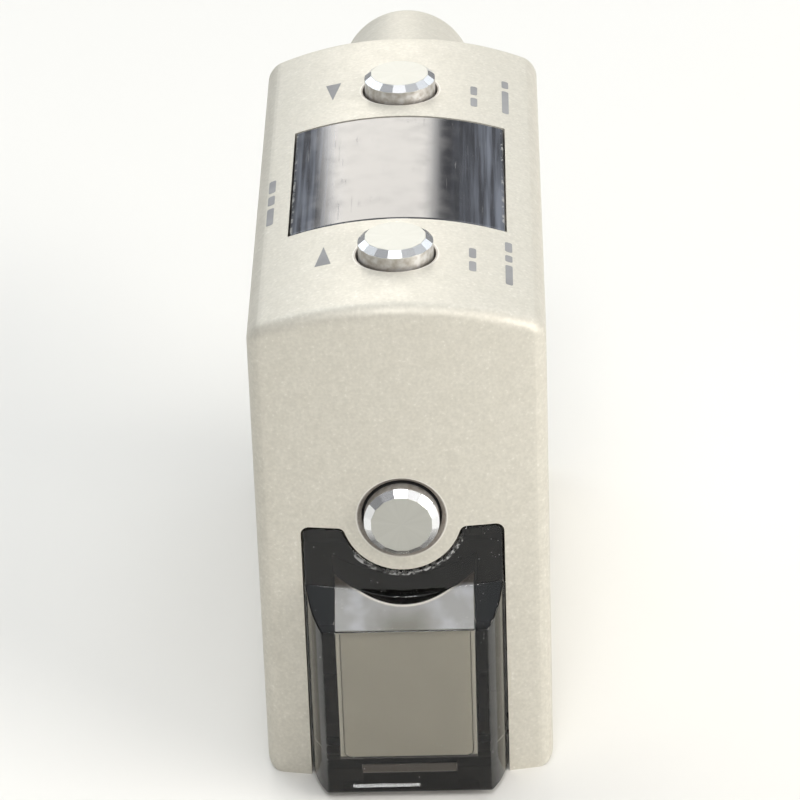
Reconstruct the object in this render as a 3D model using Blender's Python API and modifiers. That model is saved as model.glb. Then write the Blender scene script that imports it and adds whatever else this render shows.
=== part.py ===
"""A small laser photoelectric sensor in a crowned metal housing, in metres, +Z up.

The body stands on its open underside, which a screwed base plate closes. The controls and the
display are on the crowned top, the set button and the smoked lens cover on the crowned front (-Y),
and the cable gland on the rear (+Y). X = 0 is the plane of symmetry.
"""

import math

import bmesh
import bpy
from mathutils import Matrix, Vector

# Housing
BODY_WIDTH = 0.0172
BODY_DEPTH = 0.0362
BODY_HEIGHT = 0.0301
TOP_CROWN = 0.0019
FRONT_CROWN = 0.0010
EDGE_ROUND = 0.00065
REAR_ROUND = 0.00085
SIDE_WALL = 0.0015
TOP_WALL = 0.0017
FRONT_WALL = 0.0019
REAR_WALL = 0.0020
CROWN_STEP = 0.0008
FILLET_SEGMENTS = 4
MOUNT_HOLE = 0.0032
MOUNT_EDGE = 0.0028
MOUNT_BAR = 0.0048

# Clearances
SEAT_GAP = 0.0001
RUN_GAP = 0.00006
SLOT_GAP = 0.00012
WELD = 0.000002
BEYOND = 0.001
OVERLAP = 0.0003

# Buttons on the top and the front
UP_SETBACK = 0.00586
DOWN_INSET = 0.0081
SET_HEIGHT = 0.01815
CAP_DIAMETER = 0.0044
CAP_FLAT = 0.0035
CAP_FACETS = 16
CAP_STEPS = 32
TOP_PROUD = 0.00105
SET_PROUD = 0.0008
CHAMFER_DROP = 0.00036
BORE_DIAMETER = 0.0047
TOP_MOUTH = 0.0050
SET_MOUTH = 0.0052
BORE_FLOOR = 0.0015
STEM_DIAMETER = 0.0024
TRAVEL = 0.0004
CLIP_DIAMETER = 0.0036
CLIP_THICKNESS = 0.0003
CLIP_GRIP = 0.0003
CLIP_MOUTH = 0.8
RING_SECTION = 0.00054
RING_STEPS = 24

# Display
DISPLAY_MARGIN = 0.00213
UP_TO_DISPLAY = 0.00427
DISPLAY_TO_DOWN = 0.00398
DISPLAY_LEDGE = 0.0010
DISPLAY_SEAL = 0.0003
MODULE_EDGE = 0.0002

# Lens cover in the slot of the front wall
CHEEK = 0.00264
HORN_DROP = 0.00075
SLOT_CORNER = 0.00055
HORN_CORNER = 0.00045
TONGUE_RADIUS = 0.00352
LIP_WIDTH = 0.0006
COVER_LIP = 0.0010
LENS_SEAL = 0.0005
NOSE_REACH = 0.0034
NOSE_STEP = 0.00016
NOSE_TAPER = 0.00096
NOSE_BULGE = 0.00018
NOSE_LIFT = 0.00045
FACET_DROP = 0.0056
FACET_SLOPE = 0.596
SCOOP_RADIUS = 0.00556
COVER_WALL = 0.0009
KEY_INSET = 0.0013
KEY_LOW = 0.0012
KEY_HIGH = 0.0019
KEY_BRIDGE = 0.0012

# Optics behind the cover
FRAME_SIDE = 0.00069
FRAME_LIFT = 0.0024
PANEL_SIDE = 0.00033
PANEL_SILL = 0.0003
PANEL_HEAD = 0.0013
PANEL_THICKNESS = 0.0008
PANEL_CORNER = 0.0004
PANEL_RIM = 0.0004
RECEIVER_HEIGHT = 0.0091
RECEIVER_LENS = 0.0052
RECEIVER_THICKNESS = 0.0018
RECEIVER_BULGE = 0.0007
EMITTER_HEIGHT = 0.0049
EMITTER_LENS = 0.0024
EMITTER_THICKNESS = 0.0012
EMITTER_BULGE = 0.0004
DIODE_CAN = 0.0024
DIODE_FLANGE = 0.0033
DIODE_DEPTH = 0.0026
DIODE_FLANGE_DEPTH = 0.0008
LEAD_CIRCLE = 0.0007
LEAD_RADIUS = 0.00018
HOLDER_DEPTH = 0.0080
HOLDER_DROP = 0.00345
HOLDER_SIDE = 0.0009
FOOT_HEIGHT = 0.0020
JAW_HEIGHT = 0.0012
JAW_THICKNESS = 0.0010

# Boards and what is on them
BOARD = 0.0008
BOARD_SPACE = 0.0011
RIB = 0.0005
SWITCH_SIZE = 0.0028
SWITCH_HEIGHT = 0.0011
SWITCH_EDGE = 0.00015
PLUNGER_DIAMETER = 0.0016
PLUNGER_HEIGHT = 0.0004
SWITCH_BOARD_HALF = 0.0045
RECEIVER_CHIP = (0.0040, 0.0009)
PROCESSOR = (0.0050, 0.0010)
CHIP_SPACE = 0.0003
CONNECTOR_SIZE = (0.0060, 0.0035, 0.0040)
CONNECTOR_HEIGHT = 0.0060
CONNECTOR_WALL = 0.0005
CONNECTOR_DEPTH = 0.0022
STRIP_CONNECTOR_SIZE = (0.0060, 0.0012, 0.0018)
STRIP_CONNECTOR_DROP = 0.0057
STRIP_WIDTH = 0.0050
STRIP_THICKNESS = 0.00016
STRIP_BEND = 0.0010
STRIP_REACH = 0.0030

# Base plate and screws
PLATE_THICKNESS = 0.0026
SEAL_GROOVE = 0.0005
POST_DIAMETER = 0.0030
POST_HEIGHT = 0.0060
BASE_SCREW = 0.0017
BASE_SCREW_HEAD = 0.0030
BASE_SCREW_LENGTH = 0.0045
SCREW_SUNK = 0.0001
SCREW_RIM = 0.0002
THREAD_SPARE = 0.0006
POST_WEB = 0.0012
POST_INSET = 0.0022
STUD_STEP = 0.0017
SOCKET_SHARE = 0.6
SEAL_HEIGHT = 0.00054
PLATE_EDGE = 0.0002
BOARD_SCREW = 0.0015
BOARD_SCREW_HEAD = 0.0024
BOARD_SCREW_HEAD_HEIGHT = 0.0006
BOARD_SCREW_LENGTH = 0.0026

# Cable gland on the rear
GLAND_DROP = 0.0070
GLAND_BASE = 0.0130
GLAND_END = 0.0077
GLAND_LENGTH = 0.0163
GLAND_ROUND = 0.0032
CABLE_BORE = 0.0036
BUSH_DIAMETER = 0.0052
BUSH_LENGTH = 0.0060
BUSH_SUNK = 0.0005

FRONT = -BODY_DEPTH / 2
REAR = BODY_DEPTH / 2
HALF = BODY_WIDTH / 2
INNER_HALF = HALF - SIDE_WALL
INNER_FRONT = FRONT + FRONT_WALL
INNER_REAR = REAR - REAR_WALL
INNER_TOP = BODY_HEIGHT - TOP_WALL
BAR_FRONT = REAR - MOUNT_BAR
TOP_APEX = BODY_HEIGHT + TOP_CROWN
FRONT_APEX = FRONT - FRONT_CROWN
TOP_THICKNESS = TOP_WALL + TOP_CROWN
FRONT_THICKNESS = FRONT_WALL + FRONT_CROWN
SLOT_WIDTH = BODY_WIDTH - 2 * CHEEK
SLOT_HEIGHT = SET_HEIGHT - HORN_DROP
STEM_REACH = SEAT_GAP + CLIP_THICKNESS + TRAVEL
SWITCH_REACH = STEM_REACH + TRAVEL + SEAT_GAP
LIP_FRONT = INNER_FRONT + 2 * SEAT_GAP + LENS_SEAL
LIP_REAR = LIP_FRONT + COVER_LIP
NOSE_FRONT = FRONT - NOSE_REACH
NOSE_BASE = SLOT_WIDTH - 2 * NOSE_STEP
NOSE_WIDTH = NOSE_BASE - 2 * NOSE_TAPER
FACET_LOW = SLOT_HEIGHT - FACET_DROP
FRAME_WIDTH = NOSE_WIDTH - 2 * FRAME_SIDE
KEY_WIDTH = FRAME_WIDTH - 2 * KEY_INSET
PANEL_WIDTH = FRAME_WIDTH - 2 * PANEL_SIDE
PANEL_LOW = FRAME_LIFT + PANEL_SILL
PANEL_HIGH = FACET_LOW - PANEL_HEAD
HOLDER_FRONT = LIP_REAR + SEAT_GAP
HOLDER_REAR = HOLDER_FRONT + HOLDER_DEPTH
HOLDER_LOW = PLATE_THICKNESS + SEAT_GAP
HOLDER_TOP = SET_HEIGHT - HOLDER_DROP
MAIN_BOARD_FRONT = HOLDER_REAR + BOARD_SPACE
MAIN_BOARD_REAR = MAIN_BOARD_FRONT + BOARD
SWITCH_STACK = SWITCH_REACH + PLUNGER_HEIGHT + SWITCH_HEIGHT + SEAT_GAP
DISPLAY_BOARD_TOP = INNER_TOP - SWITCH_STACK
DISPLAY_BOARD_BASE = DISPLAY_BOARD_TOP - BOARD
SWITCH_BOARD_FRONT = INNER_FRONT + SWITCH_STACK
CONNECTOR_TOP = CONNECTOR_HEIGHT + CONNECTOR_SIZE[2] / 2
PROCESSOR_HEIGHT = CONNECTOR_TOP + CHIP_SPACE + PROCESSOR[0] / 2
STRIP_CONNECTOR_HEIGHT = DISPLAY_BOARD_BASE - STRIP_CONNECTOR_DROP
PLATE_TOP = PLATE_THICKNESS
PLATE_FRONT = LIP_REAR + SEAT_GAP
PLATE_REAR = BAR_FRONT - SEAT_GAP
POST_X = INNER_HALF - SEAL_GROOVE - BASE_SCREW_HEAD / 2 - 4 * SEAT_GAP
STUD_X = INNER_HALF - POST_DIAMETER / 2
SUNK_DEPTH = SCREW_SUNK + SCREW_RIM + (BASE_SCREW_HEAD - BASE_SCREW) / 2
UP_AXIS = FRONT + UP_SETBACK
DOWN_AXIS = REAR - DOWN_INSET
DISPLAY_WIDTH = BODY_WIDTH - 2 * DISPLAY_MARGIN
DISPLAY_FRONT = UP_AXIS + UP_TO_DISPLAY
DISPLAY_REAR = DOWN_AXIS - DISPLAY_TO_DOWN
HOLDER_HALF = INNER_HALF - HOLDER_SIDE
KEEL_HALF = POST_X - POST_DIAMETER / 2 - 2 * SEAT_GAP
GLAND_HEIGHT = BODY_HEIGHT - GLAND_DROP

PARTS = "laser_sensor"
CUTTERS = "cutters"
FACING_UP = (0, 0, 0)
FACING_FRONT = (math.radians(90), 0, 0)
FACING_REAR = (math.radians(-90), 0, 0)
ACROSS = (0, math.radians(90), 0)

# Each button: where its axis meets the crown and which way it faces, then how far its cap stands
# proud, its hole's mouth and the wall's thickness there.
BUTTON_PLACES = {
    "up": ((0, UP_AXIS, TOP_APEX), FACING_UP),
    "down": ((0, DOWN_AXIS, TOP_APEX), FACING_UP),
    "set": ((0, FRONT_APEX, SET_HEIGHT), FACING_FRONT),
}
BUTTON_FORMS = {
    "up": (TOP_PROUD, TOP_MOUTH, TOP_THICKNESS),
    "down": (TOP_PROUD, TOP_MOUTH, TOP_THICKNESS),
    "set": (SET_PROUD, SET_MOUTH, FRONT_THICKNESS),
}
LENSES = {
    "receiver_lens": (RECEIVER_HEIGHT, RECEIVER_LENS, RECEIVER_THICKNESS, RECEIVER_BULGE),
    "emitter_lens": (EMITTER_HEIGHT, EMITTER_LENS, EMITTER_THICKNESS, EMITTER_BULGE),
}
POST_ROWS = (PLATE_FRONT + POST_INSET, PLATE_REAR - POST_INSET)
POST_PLACES = [(side * POST_X, along) for along in POST_ROWS for side in (-1, 1)]
STUD_PLACES = [(-STUD_X, DISPLAY_FRONT - STUD_STEP), (STUD_X, DISPLAY_REAR + STUD_STEP)]


def crown(offset, rise):
    """The height of a crowned face, at an offset from the middle, above its own side edges."""
    radius = (HALF**2 + rise**2) / (2 * rise)
    return math.sqrt(radius**2 - min(abs(offset), HALF) ** 2) - (radius - rise)


def make_material(name, colour, roughness, metallic=0.0):
    material = bpy.data.materials.new(name)
    material.use_nodes = True
    shader = material.node_tree.nodes["Principled BSDF"]
    shader.inputs["Base Color"].default_value = (*colour, 1.0)
    shader.inputs["Roughness"].default_value = roughness
    shader.inputs["Metallic"].default_value = metallic
    material.diffuse_color = (*colour, 1.0)
    return material


def place(name, mesh, material=None, location=(0, 0, 0), rotation=(0, 0, 0)):
    """Links a mesh as a part, or as a hidden cutter where it has no material."""
    obj = bpy.data.objects.new(name, mesh)
    obj.location = location
    obj.rotation_euler = rotation
    if material is None:
        bpy.data.collections[CUTTERS].objects.link(obj)
        obj.hide_render = True
        obj.display_type = "WIRE"
    else:
        bpy.data.collections[PARTS].objects.link(obj)
        mesh.materials.clear()
        mesh.materials.append(material)
    return obj


def mesh_from(name, bm):
    mesh = bpy.data.meshes.new(name)
    bmesh.ops.recalc_face_normals(bm, faces=bm.faces)
    bm.to_mesh(mesh)
    bm.free()
    return mesh


def add_box(bm, low, high):
    size = Vector(high) - Vector(low)
    middle = (Vector(high) + Vector(low)) / 2
    matrix = Matrix.Translation(middle) @ Matrix.Diagonal((*size, 1))
    return bmesh.ops.create_cube(bm, size=1, matrix=matrix)["verts"]


def box(name, low, high):
    bm = bmesh.new()
    add_box(bm, low, high)
    return mesh_from(name, bm)


def mirrored_box(name, low, high):
    """Two boxes, one on each side of X = 0, from the corners of the right one."""
    bm = bmesh.new()
    add_box(bm, low, high)
    add_box(bm, (-high[0], low[1], low[2]), (-low[0], high[1], high[2]))
    return mesh_from(name, bm)


def rod(name, radius, low, high, far_radius=None, segments=32, matrix=None):
    """A cylinder or cone along the local Z axis, from low to high."""
    bm = bmesh.new()
    bmesh.ops.create_cone(
        bm,
        cap_ends=True,
        segments=segments,
        radius1=radius,
        radius2=radius if far_radius is None else far_radius,
        depth=high - low,
        matrix=(matrix or Matrix()) @ Matrix.Translation((0, 0, (low + high) / 2)),
    )
    return mesh_from(name, bm)


def evaluated_mesh(obj):
    bpy.context.view_layer.update()
    graph = bpy.context.evaluated_depsgraph_get()
    return bpy.data.meshes.new_from_object(obj.evaluated_get(graph))


def turned(name, profile, steps=32):
    """A solid of revolution about Z, from (radius, height) points that run from top to bottom."""
    bm = bmesh.new()
    points = [bm.verts.new((radius, 0, height)) for radius, height in profile]
    for upper, lower in zip(points, points[1:]):
        bm.edges.new((upper, lower))
    mesh = bpy.data.meshes.new(name)
    bm.to_mesh(mesh)
    bm.free()
    obj = place(name, mesh)
    screw = obj.modifiers.new("Turn", "SCREW")
    screw.steps = steps
    screw.render_steps = steps
    screw.use_merge_vertices = True
    screw.merge_threshold = WELD
    solid = merged(obj, name)
    solid.transform(Matrix.Rotation(math.pi / steps, 4, "Z"))
    return solid


def prism(name, outline, low, high):
    """A flat outline, drawn in local X and Y, made solid from low to high along local Z."""
    curve = bpy.data.curves.new(name, "CURVE")
    curve.dimensions = "2D"
    curve.fill_mode = "BOTH"
    curve.extrude = (high - low) / 2
    spline = curve.splines.new("POLY")
    spline.points.add(len(outline) - 1)
    for point, (across, along) in zip(spline.points, outline):
        point.co = (across, along, 0, 1)
    spline.use_cyclic_u = True
    obj = bpy.data.objects.new(name, curve)
    bpy.data.collections[CUTTERS].objects.link(obj)
    mesh = evaluated_mesh(obj)
    bpy.data.objects.remove(obj)
    bm = bmesh.new()
    bm.from_mesh(mesh)
    bmesh.ops.remove_doubles(bm, verts=bm.verts, dist=WELD)
    bmesh.ops.translate(bm, verts=bm.verts, vec=(0, 0, (low + high) / 2))
    return mesh_from(name, bm)


def upright_prism(name, outline, front, rear):
    """A prism along Y, from an outline in X and Z."""
    mesh = prism(name, outline, -rear, -front)
    mesh.transform(Matrix.Rotation(math.radians(90), 4, "X"))
    return mesh


def side_prism(name, outline, half):
    """A prism along X, to both sides of the middle, from an outline in Y and Z."""
    mesh = prism(name, outline, -half, half)
    turn = Matrix(((0, 0, 1, 0), (1, 0, 0, 0), (0, 1, 0, 0), (0, 0, 0, 1)))
    mesh.transform(turn)
    return mesh


def combine(obj, mesh, operation="DIFFERENCE", location=(0, 0, 0), rotation=(0, 0, 0)):
    """Cuts a tool mesh from an object, adds it, or keeps only what both fill."""
    tool = place(f"tool_{mesh.name}", mesh, None, location, rotation)
    modifier = obj.modifiers.new(mesh.name, "BOOLEAN")
    modifier.operation = operation
    modifier.solver = "EXACT"
    modifier.object = tool


def settle(obj, angle=32):
    """Makes an object's shape final, with round stretches shaded smooth between its sharp edges."""
    mesh = evaluated_mesh(obj)
    bm = bmesh.new()
    bm.from_mesh(mesh)
    bmesh.ops.dissolve_degenerate(bm, dist=WELD, edges=bm.edges)
    bm.to_mesh(mesh)
    bm.free()
    obj.modifiers.clear()
    obj.data = mesh
    mesh.shade_smooth()
    mesh.set_sharp_from_angle(angle=math.radians(angle))


def merged(blank, name):
    """The finished mesh of a helper object, which is then removed."""
    mesh = evaluated_mesh(blank)
    mesh.name = name
    bpy.data.objects.remove(blank)
    return mesh


def arc(centre, radius, start, stop, steps):
    """Points on an arc, with angles in degrees."""
    points = []
    for step in range(steps + 1):
        angle = math.radians(start + (stop - start) * step / steps)
        points.append((centre[0] + radius * math.cos(angle), centre[1] + radius * math.sin(angle)))
    return points


def rounded_rectangle(low, high, lower_round, upper_round, steps=4):
    """A rectangle with one radius for its lower corners and another for its upper ones."""
    outline = []
    corners = (
        (high[0], low[1], -1, 1, lower_round, -90),
        (high[0], high[1], -1, -1, upper_round, 0),
        (low[0], high[1], 1, -1, upper_round, 90),
        (low[0], low[1], 1, 1, lower_round, 180),
    )
    for across, along, side, way, radius, start in corners:
        if radius:
            centre = (across + side * radius, along + way * radius)
            outline += arc(centre, radius, start, start + 90, steps)
        else:
            outline.append((across, along))
    return outline


def slot_outline(grow, low):
    """The U-shaped slot around the tongue that carries the set button, grown or shrunk all round."""
    half = SLOT_WIDTH / 2 + grow
    top = SLOT_HEIGHT + grow
    corner = SLOT_CORNER + grow
    horn = HORN_CORNER + grow
    tongue = TONGUE_RADIUS - grow
    horn_z = top - horn
    horn_x = math.sqrt((tongue + horn) ** 2 - (SET_HEIGHT - horn_z) ** 2)
    meeting = math.degrees(math.atan2(horn_z - SET_HEIGHT, horn_x))
    right = [(half, low)]
    right += arc((half - corner, top - corner), corner, 0, 90, 4)
    right += arc((horn_x, horn_z), horn, 90, 180 + meeting, 4)
    right += arc((0, SET_HEIGHT), tongue, meeting, -90, 11)[1:]
    left = [(-across, along) for across, along in reversed(right[:-1])]
    return right + left


def runs_along(edge, axis):
    one, two = (vert.co for vert in edge.verts)
    return abs(one[axis] - two[axis]) > 0.9 * (one - two).length


def is_soft(edge):
    """Whether an edge of the outer form has the small round: all but the base's and the rear corners."""
    middle = (edge.verts[0].co + edge.verts[1].co) / 2
    if runs_along(edge, 2):
        return middle.y < 0
    return runs_along(edge, 1) or middle.z > BODY_HEIGHT / 2


def round_edges(bm, edges, radius):
    bmesh.ops.bevel(bm, geom=edges, offset=radius, segments=FILLET_SEGMENTS, profile=0.5, affect="EDGES")


def crowned_blank(name):
    """The outer form: a rounded box whose top and front are raised across the width."""
    bm = bmesh.new()
    add_box(bm, (-HALF, FRONT, 0), (HALF, REAR, BODY_HEIGHT))
    round_edges(bm, [edge for edge in bm.edges if runs_along(edge, 2) and edge.verts[0].co.y > 0], REAR_ROUND)
    round_edges(bm, [edge for edge in bm.edges if is_soft(edge)], EDGE_ROUND)
    slices = int(HALF / CROWN_STEP)
    for index in range(-slices, slices):
        bmesh.ops.bisect_plane(
            bm,
            geom=bm.verts[:] + bm.edges[:] + bm.faces[:],
            dist=WELD,
            plane_co=((index + 0.5) * CROWN_STEP, 0, 0),
            plane_no=(1, 0, 0),
        )
    bmesh.ops.remove_doubles(bm, verts=bm.verts, dist=WELD)
    for vert in bm.verts:
        rise_top = crown(vert.co.x, TOP_CROWN)
        rise_front = crown(vert.co.x, FRONT_CROWN)
        if vert.co.z > BODY_HEIGHT / 2:
            vert.co.z += rise_top
        if vert.co.y < 0:
            vert.co.y -= rise_front
    return mesh_from(name, bm)


def cavity():
    """The room inside, with the bars of the two cross holes left standing at the rear."""
    low = (-INNER_HALF, INNER_FRONT, -BEYOND)
    room = place("room_blank", box("room", low, (INNER_HALF, INNER_REAR, INNER_TOP)))
    upper = (-HALF, BAR_FRONT, BODY_HEIGHT - MOUNT_BAR)
    combine(room, box("upper_bar", upper, (HALF, REAR, BODY_HEIGHT)))
    lower = (-HALF, BAR_FRONT, -2 * BEYOND)
    combine(room, box("lower_bar", lower, (HALF, REAR, MOUNT_BAR)))
    return merged(room, "room_with_bars")


def button_bore(name, mouth, thickness):
    """The stepped hole of a button, about local Z, with its mouth at the crown's apex."""
    radius = BORE_DIAMETER / 2
    flare = mouth / 2 - radius
    floor = BORE_FLOOR - thickness
    stem = STEM_DIAMETER / 2 + 2 * RUN_GAP
    profile = [
        (0, BEYOND),
        (radius + flare + BEYOND, BEYOND),
        (radius, -flare),
        (radius, floor),
        (stem, floor),
        (stem, -thickness - BEYOND),
        (0, -thickness - BEYOND),
    ]
    return turned(name, profile, CAP_STEPS)


def gland_profile():
    """The tapered gland boss about local Z, from its rounded end down into the rear wall."""
    base = GLAND_BASE / 2
    shoulder = GLAND_LENGTH - GLAND_ROUND
    neck = base - (GLAND_BASE - GLAND_END) / 2 * shoulder / GLAND_LENGTH
    rounded_end = arc((neck - GLAND_ROUND, shoulder), GLAND_ROUND, 90, 0, 5)
    return [(0, GLAND_LENGTH), *rounded_end, (base, 0), (base, -REAR_WALL / 2), (0, -REAR_WALL / 2)]


def cable_bore_profile():
    """The cable's way through the boss, widened at its end for the bush."""
    seat = BUSH_DIAMETER / 2 + SEAT_GAP
    bore = CABLE_BORE / 2
    end = GLAND_LENGTH + BEYOND
    shoulder = GLAND_LENGTH - BUSH_LENGTH
    inside = -REAR_WALL - BEYOND
    return [(0, end), (seat, end), (seat, shoulder), (bore, shoulder), (bore, inside), (0, inside)]


def add_posts(housing):
    """The posts that take the base screws, each tied to the side wall by a web."""
    for index, (across, along) in enumerate(POST_PLACES):
        post = rod(f"base_post_{index}", POST_DIAMETER / 2, PLATE_TOP + SEAT_GAP, POST_HEIGHT, segments=20)
        combine(housing, post, "UNION", (across, along, 0))
        wall = math.copysign(INNER_HALF + OVERLAP, across)
        low = (min(across, wall), along - POST_WEB / 2, PLATE_TOP + 2 * SEAT_GAP)
        high = (max(across, wall), along + POST_WEB / 2, POST_HEIGHT - SEAT_GAP)
        combine(housing, box(f"post_web_{index}", low, high), "UNION")
        depth = BASE_SCREW_LENGTH + THREAD_SPARE
        hole = rod(f"base_thread_{index}", BASE_SCREW / 2 + RUN_GAP, 0, depth, segments=20)
        combine(housing, hole, "DIFFERENCE", (across, along, 0))


def add_studs(housing):
    """The studs under the roof that the display board is screwed up to."""
    for index, (across, along) in enumerate(STUD_PLACES):
        low = DISPLAY_BOARD_TOP + SEAT_GAP
        stud = rod(f"board_stud_{index}", POST_DIAMETER / 2 + SEAT_GAP, low, INNER_TOP + OVERLAP, segments=20)
        combine(housing, stud, "UNION", (across, along, 0))
        end = DISPLAY_BOARD_BASE + BOARD_SCREW_LENGTH + THREAD_SPARE / 2
        hole = rod(f"stud_thread_{index}", BOARD_SCREW / 2 + RUN_GAP, DISPLAY_BOARD_BASE, end, segments=16)
        combine(housing, hole, "DIFFERENCE", (across, along, 0))


def add_board_ribs(housing):
    """Two ribs on each side wall, with the main board's slot between them."""
    for index in range(2):
        front = MAIN_BOARD_FRONT - SEAT_GAP - RIB + index * (BOARD + 2 * SEAT_GAP + RIB)
        low = (INNER_HALF - RIB, front, PLATE_TOP + 2 * SEAT_GAP)
        high = (INNER_HALF + OVERLAP, front + RIB, DISPLAY_BOARD_BASE - RIB)
        combine(housing, mirrored_box(f"board_ribs_{index}", low, high), "UNION")


def cut_display(housing):
    """The display window's pocket, its ledge and the opening below it."""
    half = DISPLAY_WIDTH / 2
    ledge = BODY_HEIGHT - DISPLAY_LEDGE
    pocket = box("display_pocket", (-half, DISPLAY_FRONT, ledge), (half, DISPLAY_REAR, TOP_APEX + BEYOND))
    combine(housing, pocket)
    low = (-half + DISPLAY_LEDGE, DISPLAY_FRONT + DISPLAY_LEDGE, INNER_TOP - OVERLAP)
    high = (half - DISPLAY_LEDGE, DISPLAY_REAR - DISPLAY_LEDGE, ledge + OVERLAP)
    combine(housing, box("display_opening", low, high))


def build_housing(metal):
    """The one-piece housing: crowned shell, gland boss, posts, studs and ribs, and every hole in it."""
    housing = place("housing", crowned_blank("housing"), metal)
    combine(housing, cavity())
    at_gland = (0, REAR, GLAND_HEIGHT)
    combine(housing, turned("gland_boss", gland_profile(), 40), "UNION", at_gland, FACING_REAR)
    add_posts(housing)
    add_studs(housing)
    add_board_ribs(housing)

    slot = upright_prism("lens_slot", slot_outline(0, -BEYOND), FRONT_APEX - BEYOND, INNER_FRONT + OVERLAP)
    combine(housing, slot)
    cut_display(housing)
    for name, (location, rotation) in BUTTON_PLACES.items():
        _, mouth, thickness = BUTTON_FORMS[name]
        combine(housing, button_bore(f"{name}_bore", mouth, thickness), "DIFFERENCE", location, rotation)
    for index, height in enumerate((MOUNT_EDGE, BODY_HEIGHT - MOUNT_EDGE)):
        hole = rod(f"mount_hole_{index}", MOUNT_HOLE / 2, -HALF - BEYOND, HALF + BEYOND)
        combine(housing, hole, "DIFFERENCE", (0, REAR - MOUNT_EDGE, height), ACROSS)
    combine(housing, turned("cable_bore", cable_bore_profile(), 32), "DIFFERENCE", at_gland, FACING_REAR)
    settle(housing)


def screw_mesh(name, diameter, head, head_height, length, sunk):
    """A screw about local Z with its head's outer face at 0, pointing up, and a hexagon socket."""
    radius = diameter / 2
    rim = head / 2
    shoulder = [(radius, head_height), (rim, SCREW_RIM)]
    if not sunk:
        shoulder.insert(1, (rim, head_height))
    tip = [(0, length), (radius - OVERLAP, length), (radius, length - OVERLAP)]
    blank = place(name, turned(name, [*tip, *shoulder, (rim - SCREW_RIM / 2, 0), (0, 0)], 20))
    socket = rod(f"{name}_socket", radius * SOCKET_SHARE, -BEYOND, head_height * SOCKET_SHARE, segments=6)
    combine(blank, socket)
    return merged(blank, name)


def countersink_profile():
    head = BASE_SCREW_HEAD / 2 + SEAT_GAP
    radius = BASE_SCREW / 2 + SEAT_GAP
    top = PLATE_TOP + BEYOND
    stem = [(0, top), (radius, top), (radius, SUNK_DEPTH)]
    return stem + [(head, SCREW_SUNK + SCREW_RIM), (head, -BEYOND), (0, -BEYOND)]


def edge_band(name, low, high, half_height, inset, thickness):
    """A flat rectangular band round the base plate, set in from the plate's edge."""
    middle = PLATE_THICKNESS / 2
    outer_low = (low[0] + inset, low[1] + inset, middle - half_height)
    outer_high = (high[0] - inset, high[1] - inset, middle + half_height)
    band = place(name, box(name, outer_low, outer_high))
    reach = inset + thickness
    inner_low = (low[0] + reach, low[1] + reach, -BEYOND)
    inner_high = (high[0] - reach, high[1] - reach, PLATE_TOP + BEYOND)
    combine(band, box(f"{name}_core", inner_low, inner_high))
    return merged(band, name)


def build_base(metal, rubber, steel):
    """The plate that closes the underside, its edge seal and its four screws."""
    low = (-INNER_HALF + SEAT_GAP, PLATE_FRONT, 0)
    high = (INNER_HALF - SEAT_GAP, PLATE_REAR, PLATE_TOP)
    plate = place("base_plate", box("base_plate", low, high), metal)
    bevel = plate.modifiers.new("Edges", "BEVEL")
    bevel.width = PLATE_EDGE
    bevel.segments = 2
    groove_half = SEAL_HEIGHT / 2 + RUN_GAP
    combine(plate, edge_band("seal_groove", low, high, groove_half, -BEYOND, BEYOND + SEAL_GROOVE))
    for index, (across, along) in enumerate(POST_PLACES):
        sink = turned(f"countersink_{index}", countersink_profile(), 20)
        combine(plate, sink, "DIFFERENCE", (across, along, 0))
    settle(plate)

    band = edge_band("base_seal", low, high, SEAL_HEIGHT / 2, RUN_GAP / 2, SEAL_GROOVE - 2 * RUN_GAP)
    settle(place("base_seal", band, rubber))

    head_height = SUNK_DEPTH - SCREW_SUNK
    screw = screw_mesh("base_screw", BASE_SCREW, BASE_SCREW_HEAD, head_height, BASE_SCREW_LENGTH, True)
    for index, (across, along) in enumerate(POST_PLACES):
        settle(place(f"base_screw_{index + 1}", screw.copy(), steel, (across, along, SCREW_SUNK)))


def facet_prism(name, depth):
    """What lies above the nose's sloping facet, or above a parallel plane that deep inside it."""
    run = 2 * NOSE_REACH
    drop = depth * math.hypot(1, FACET_SLOPE)
    start = (NOSE_FRONT - run, FACET_LOW - drop - run * FACET_SLOPE)
    stop = (NOSE_FRONT + run, FACET_LOW - drop + run * FACET_SLOPE)
    outline = [start, stop, (stop[0], BODY_HEIGHT), (start[0], BODY_HEIGHT)]
    return side_prism(name, outline, HALF)


def scoop_rod(name, grow):
    """The round scoop about the set button's axis."""
    along_y = Matrix.Rotation(math.radians(90), 4, "X")
    near = -INNER_FRONT - 2 * BEYOND
    return rod(name, SCOOP_RADIUS + grow, near, -NOSE_FRONT + BEYOND, segments=64, matrix=along_y)


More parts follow.
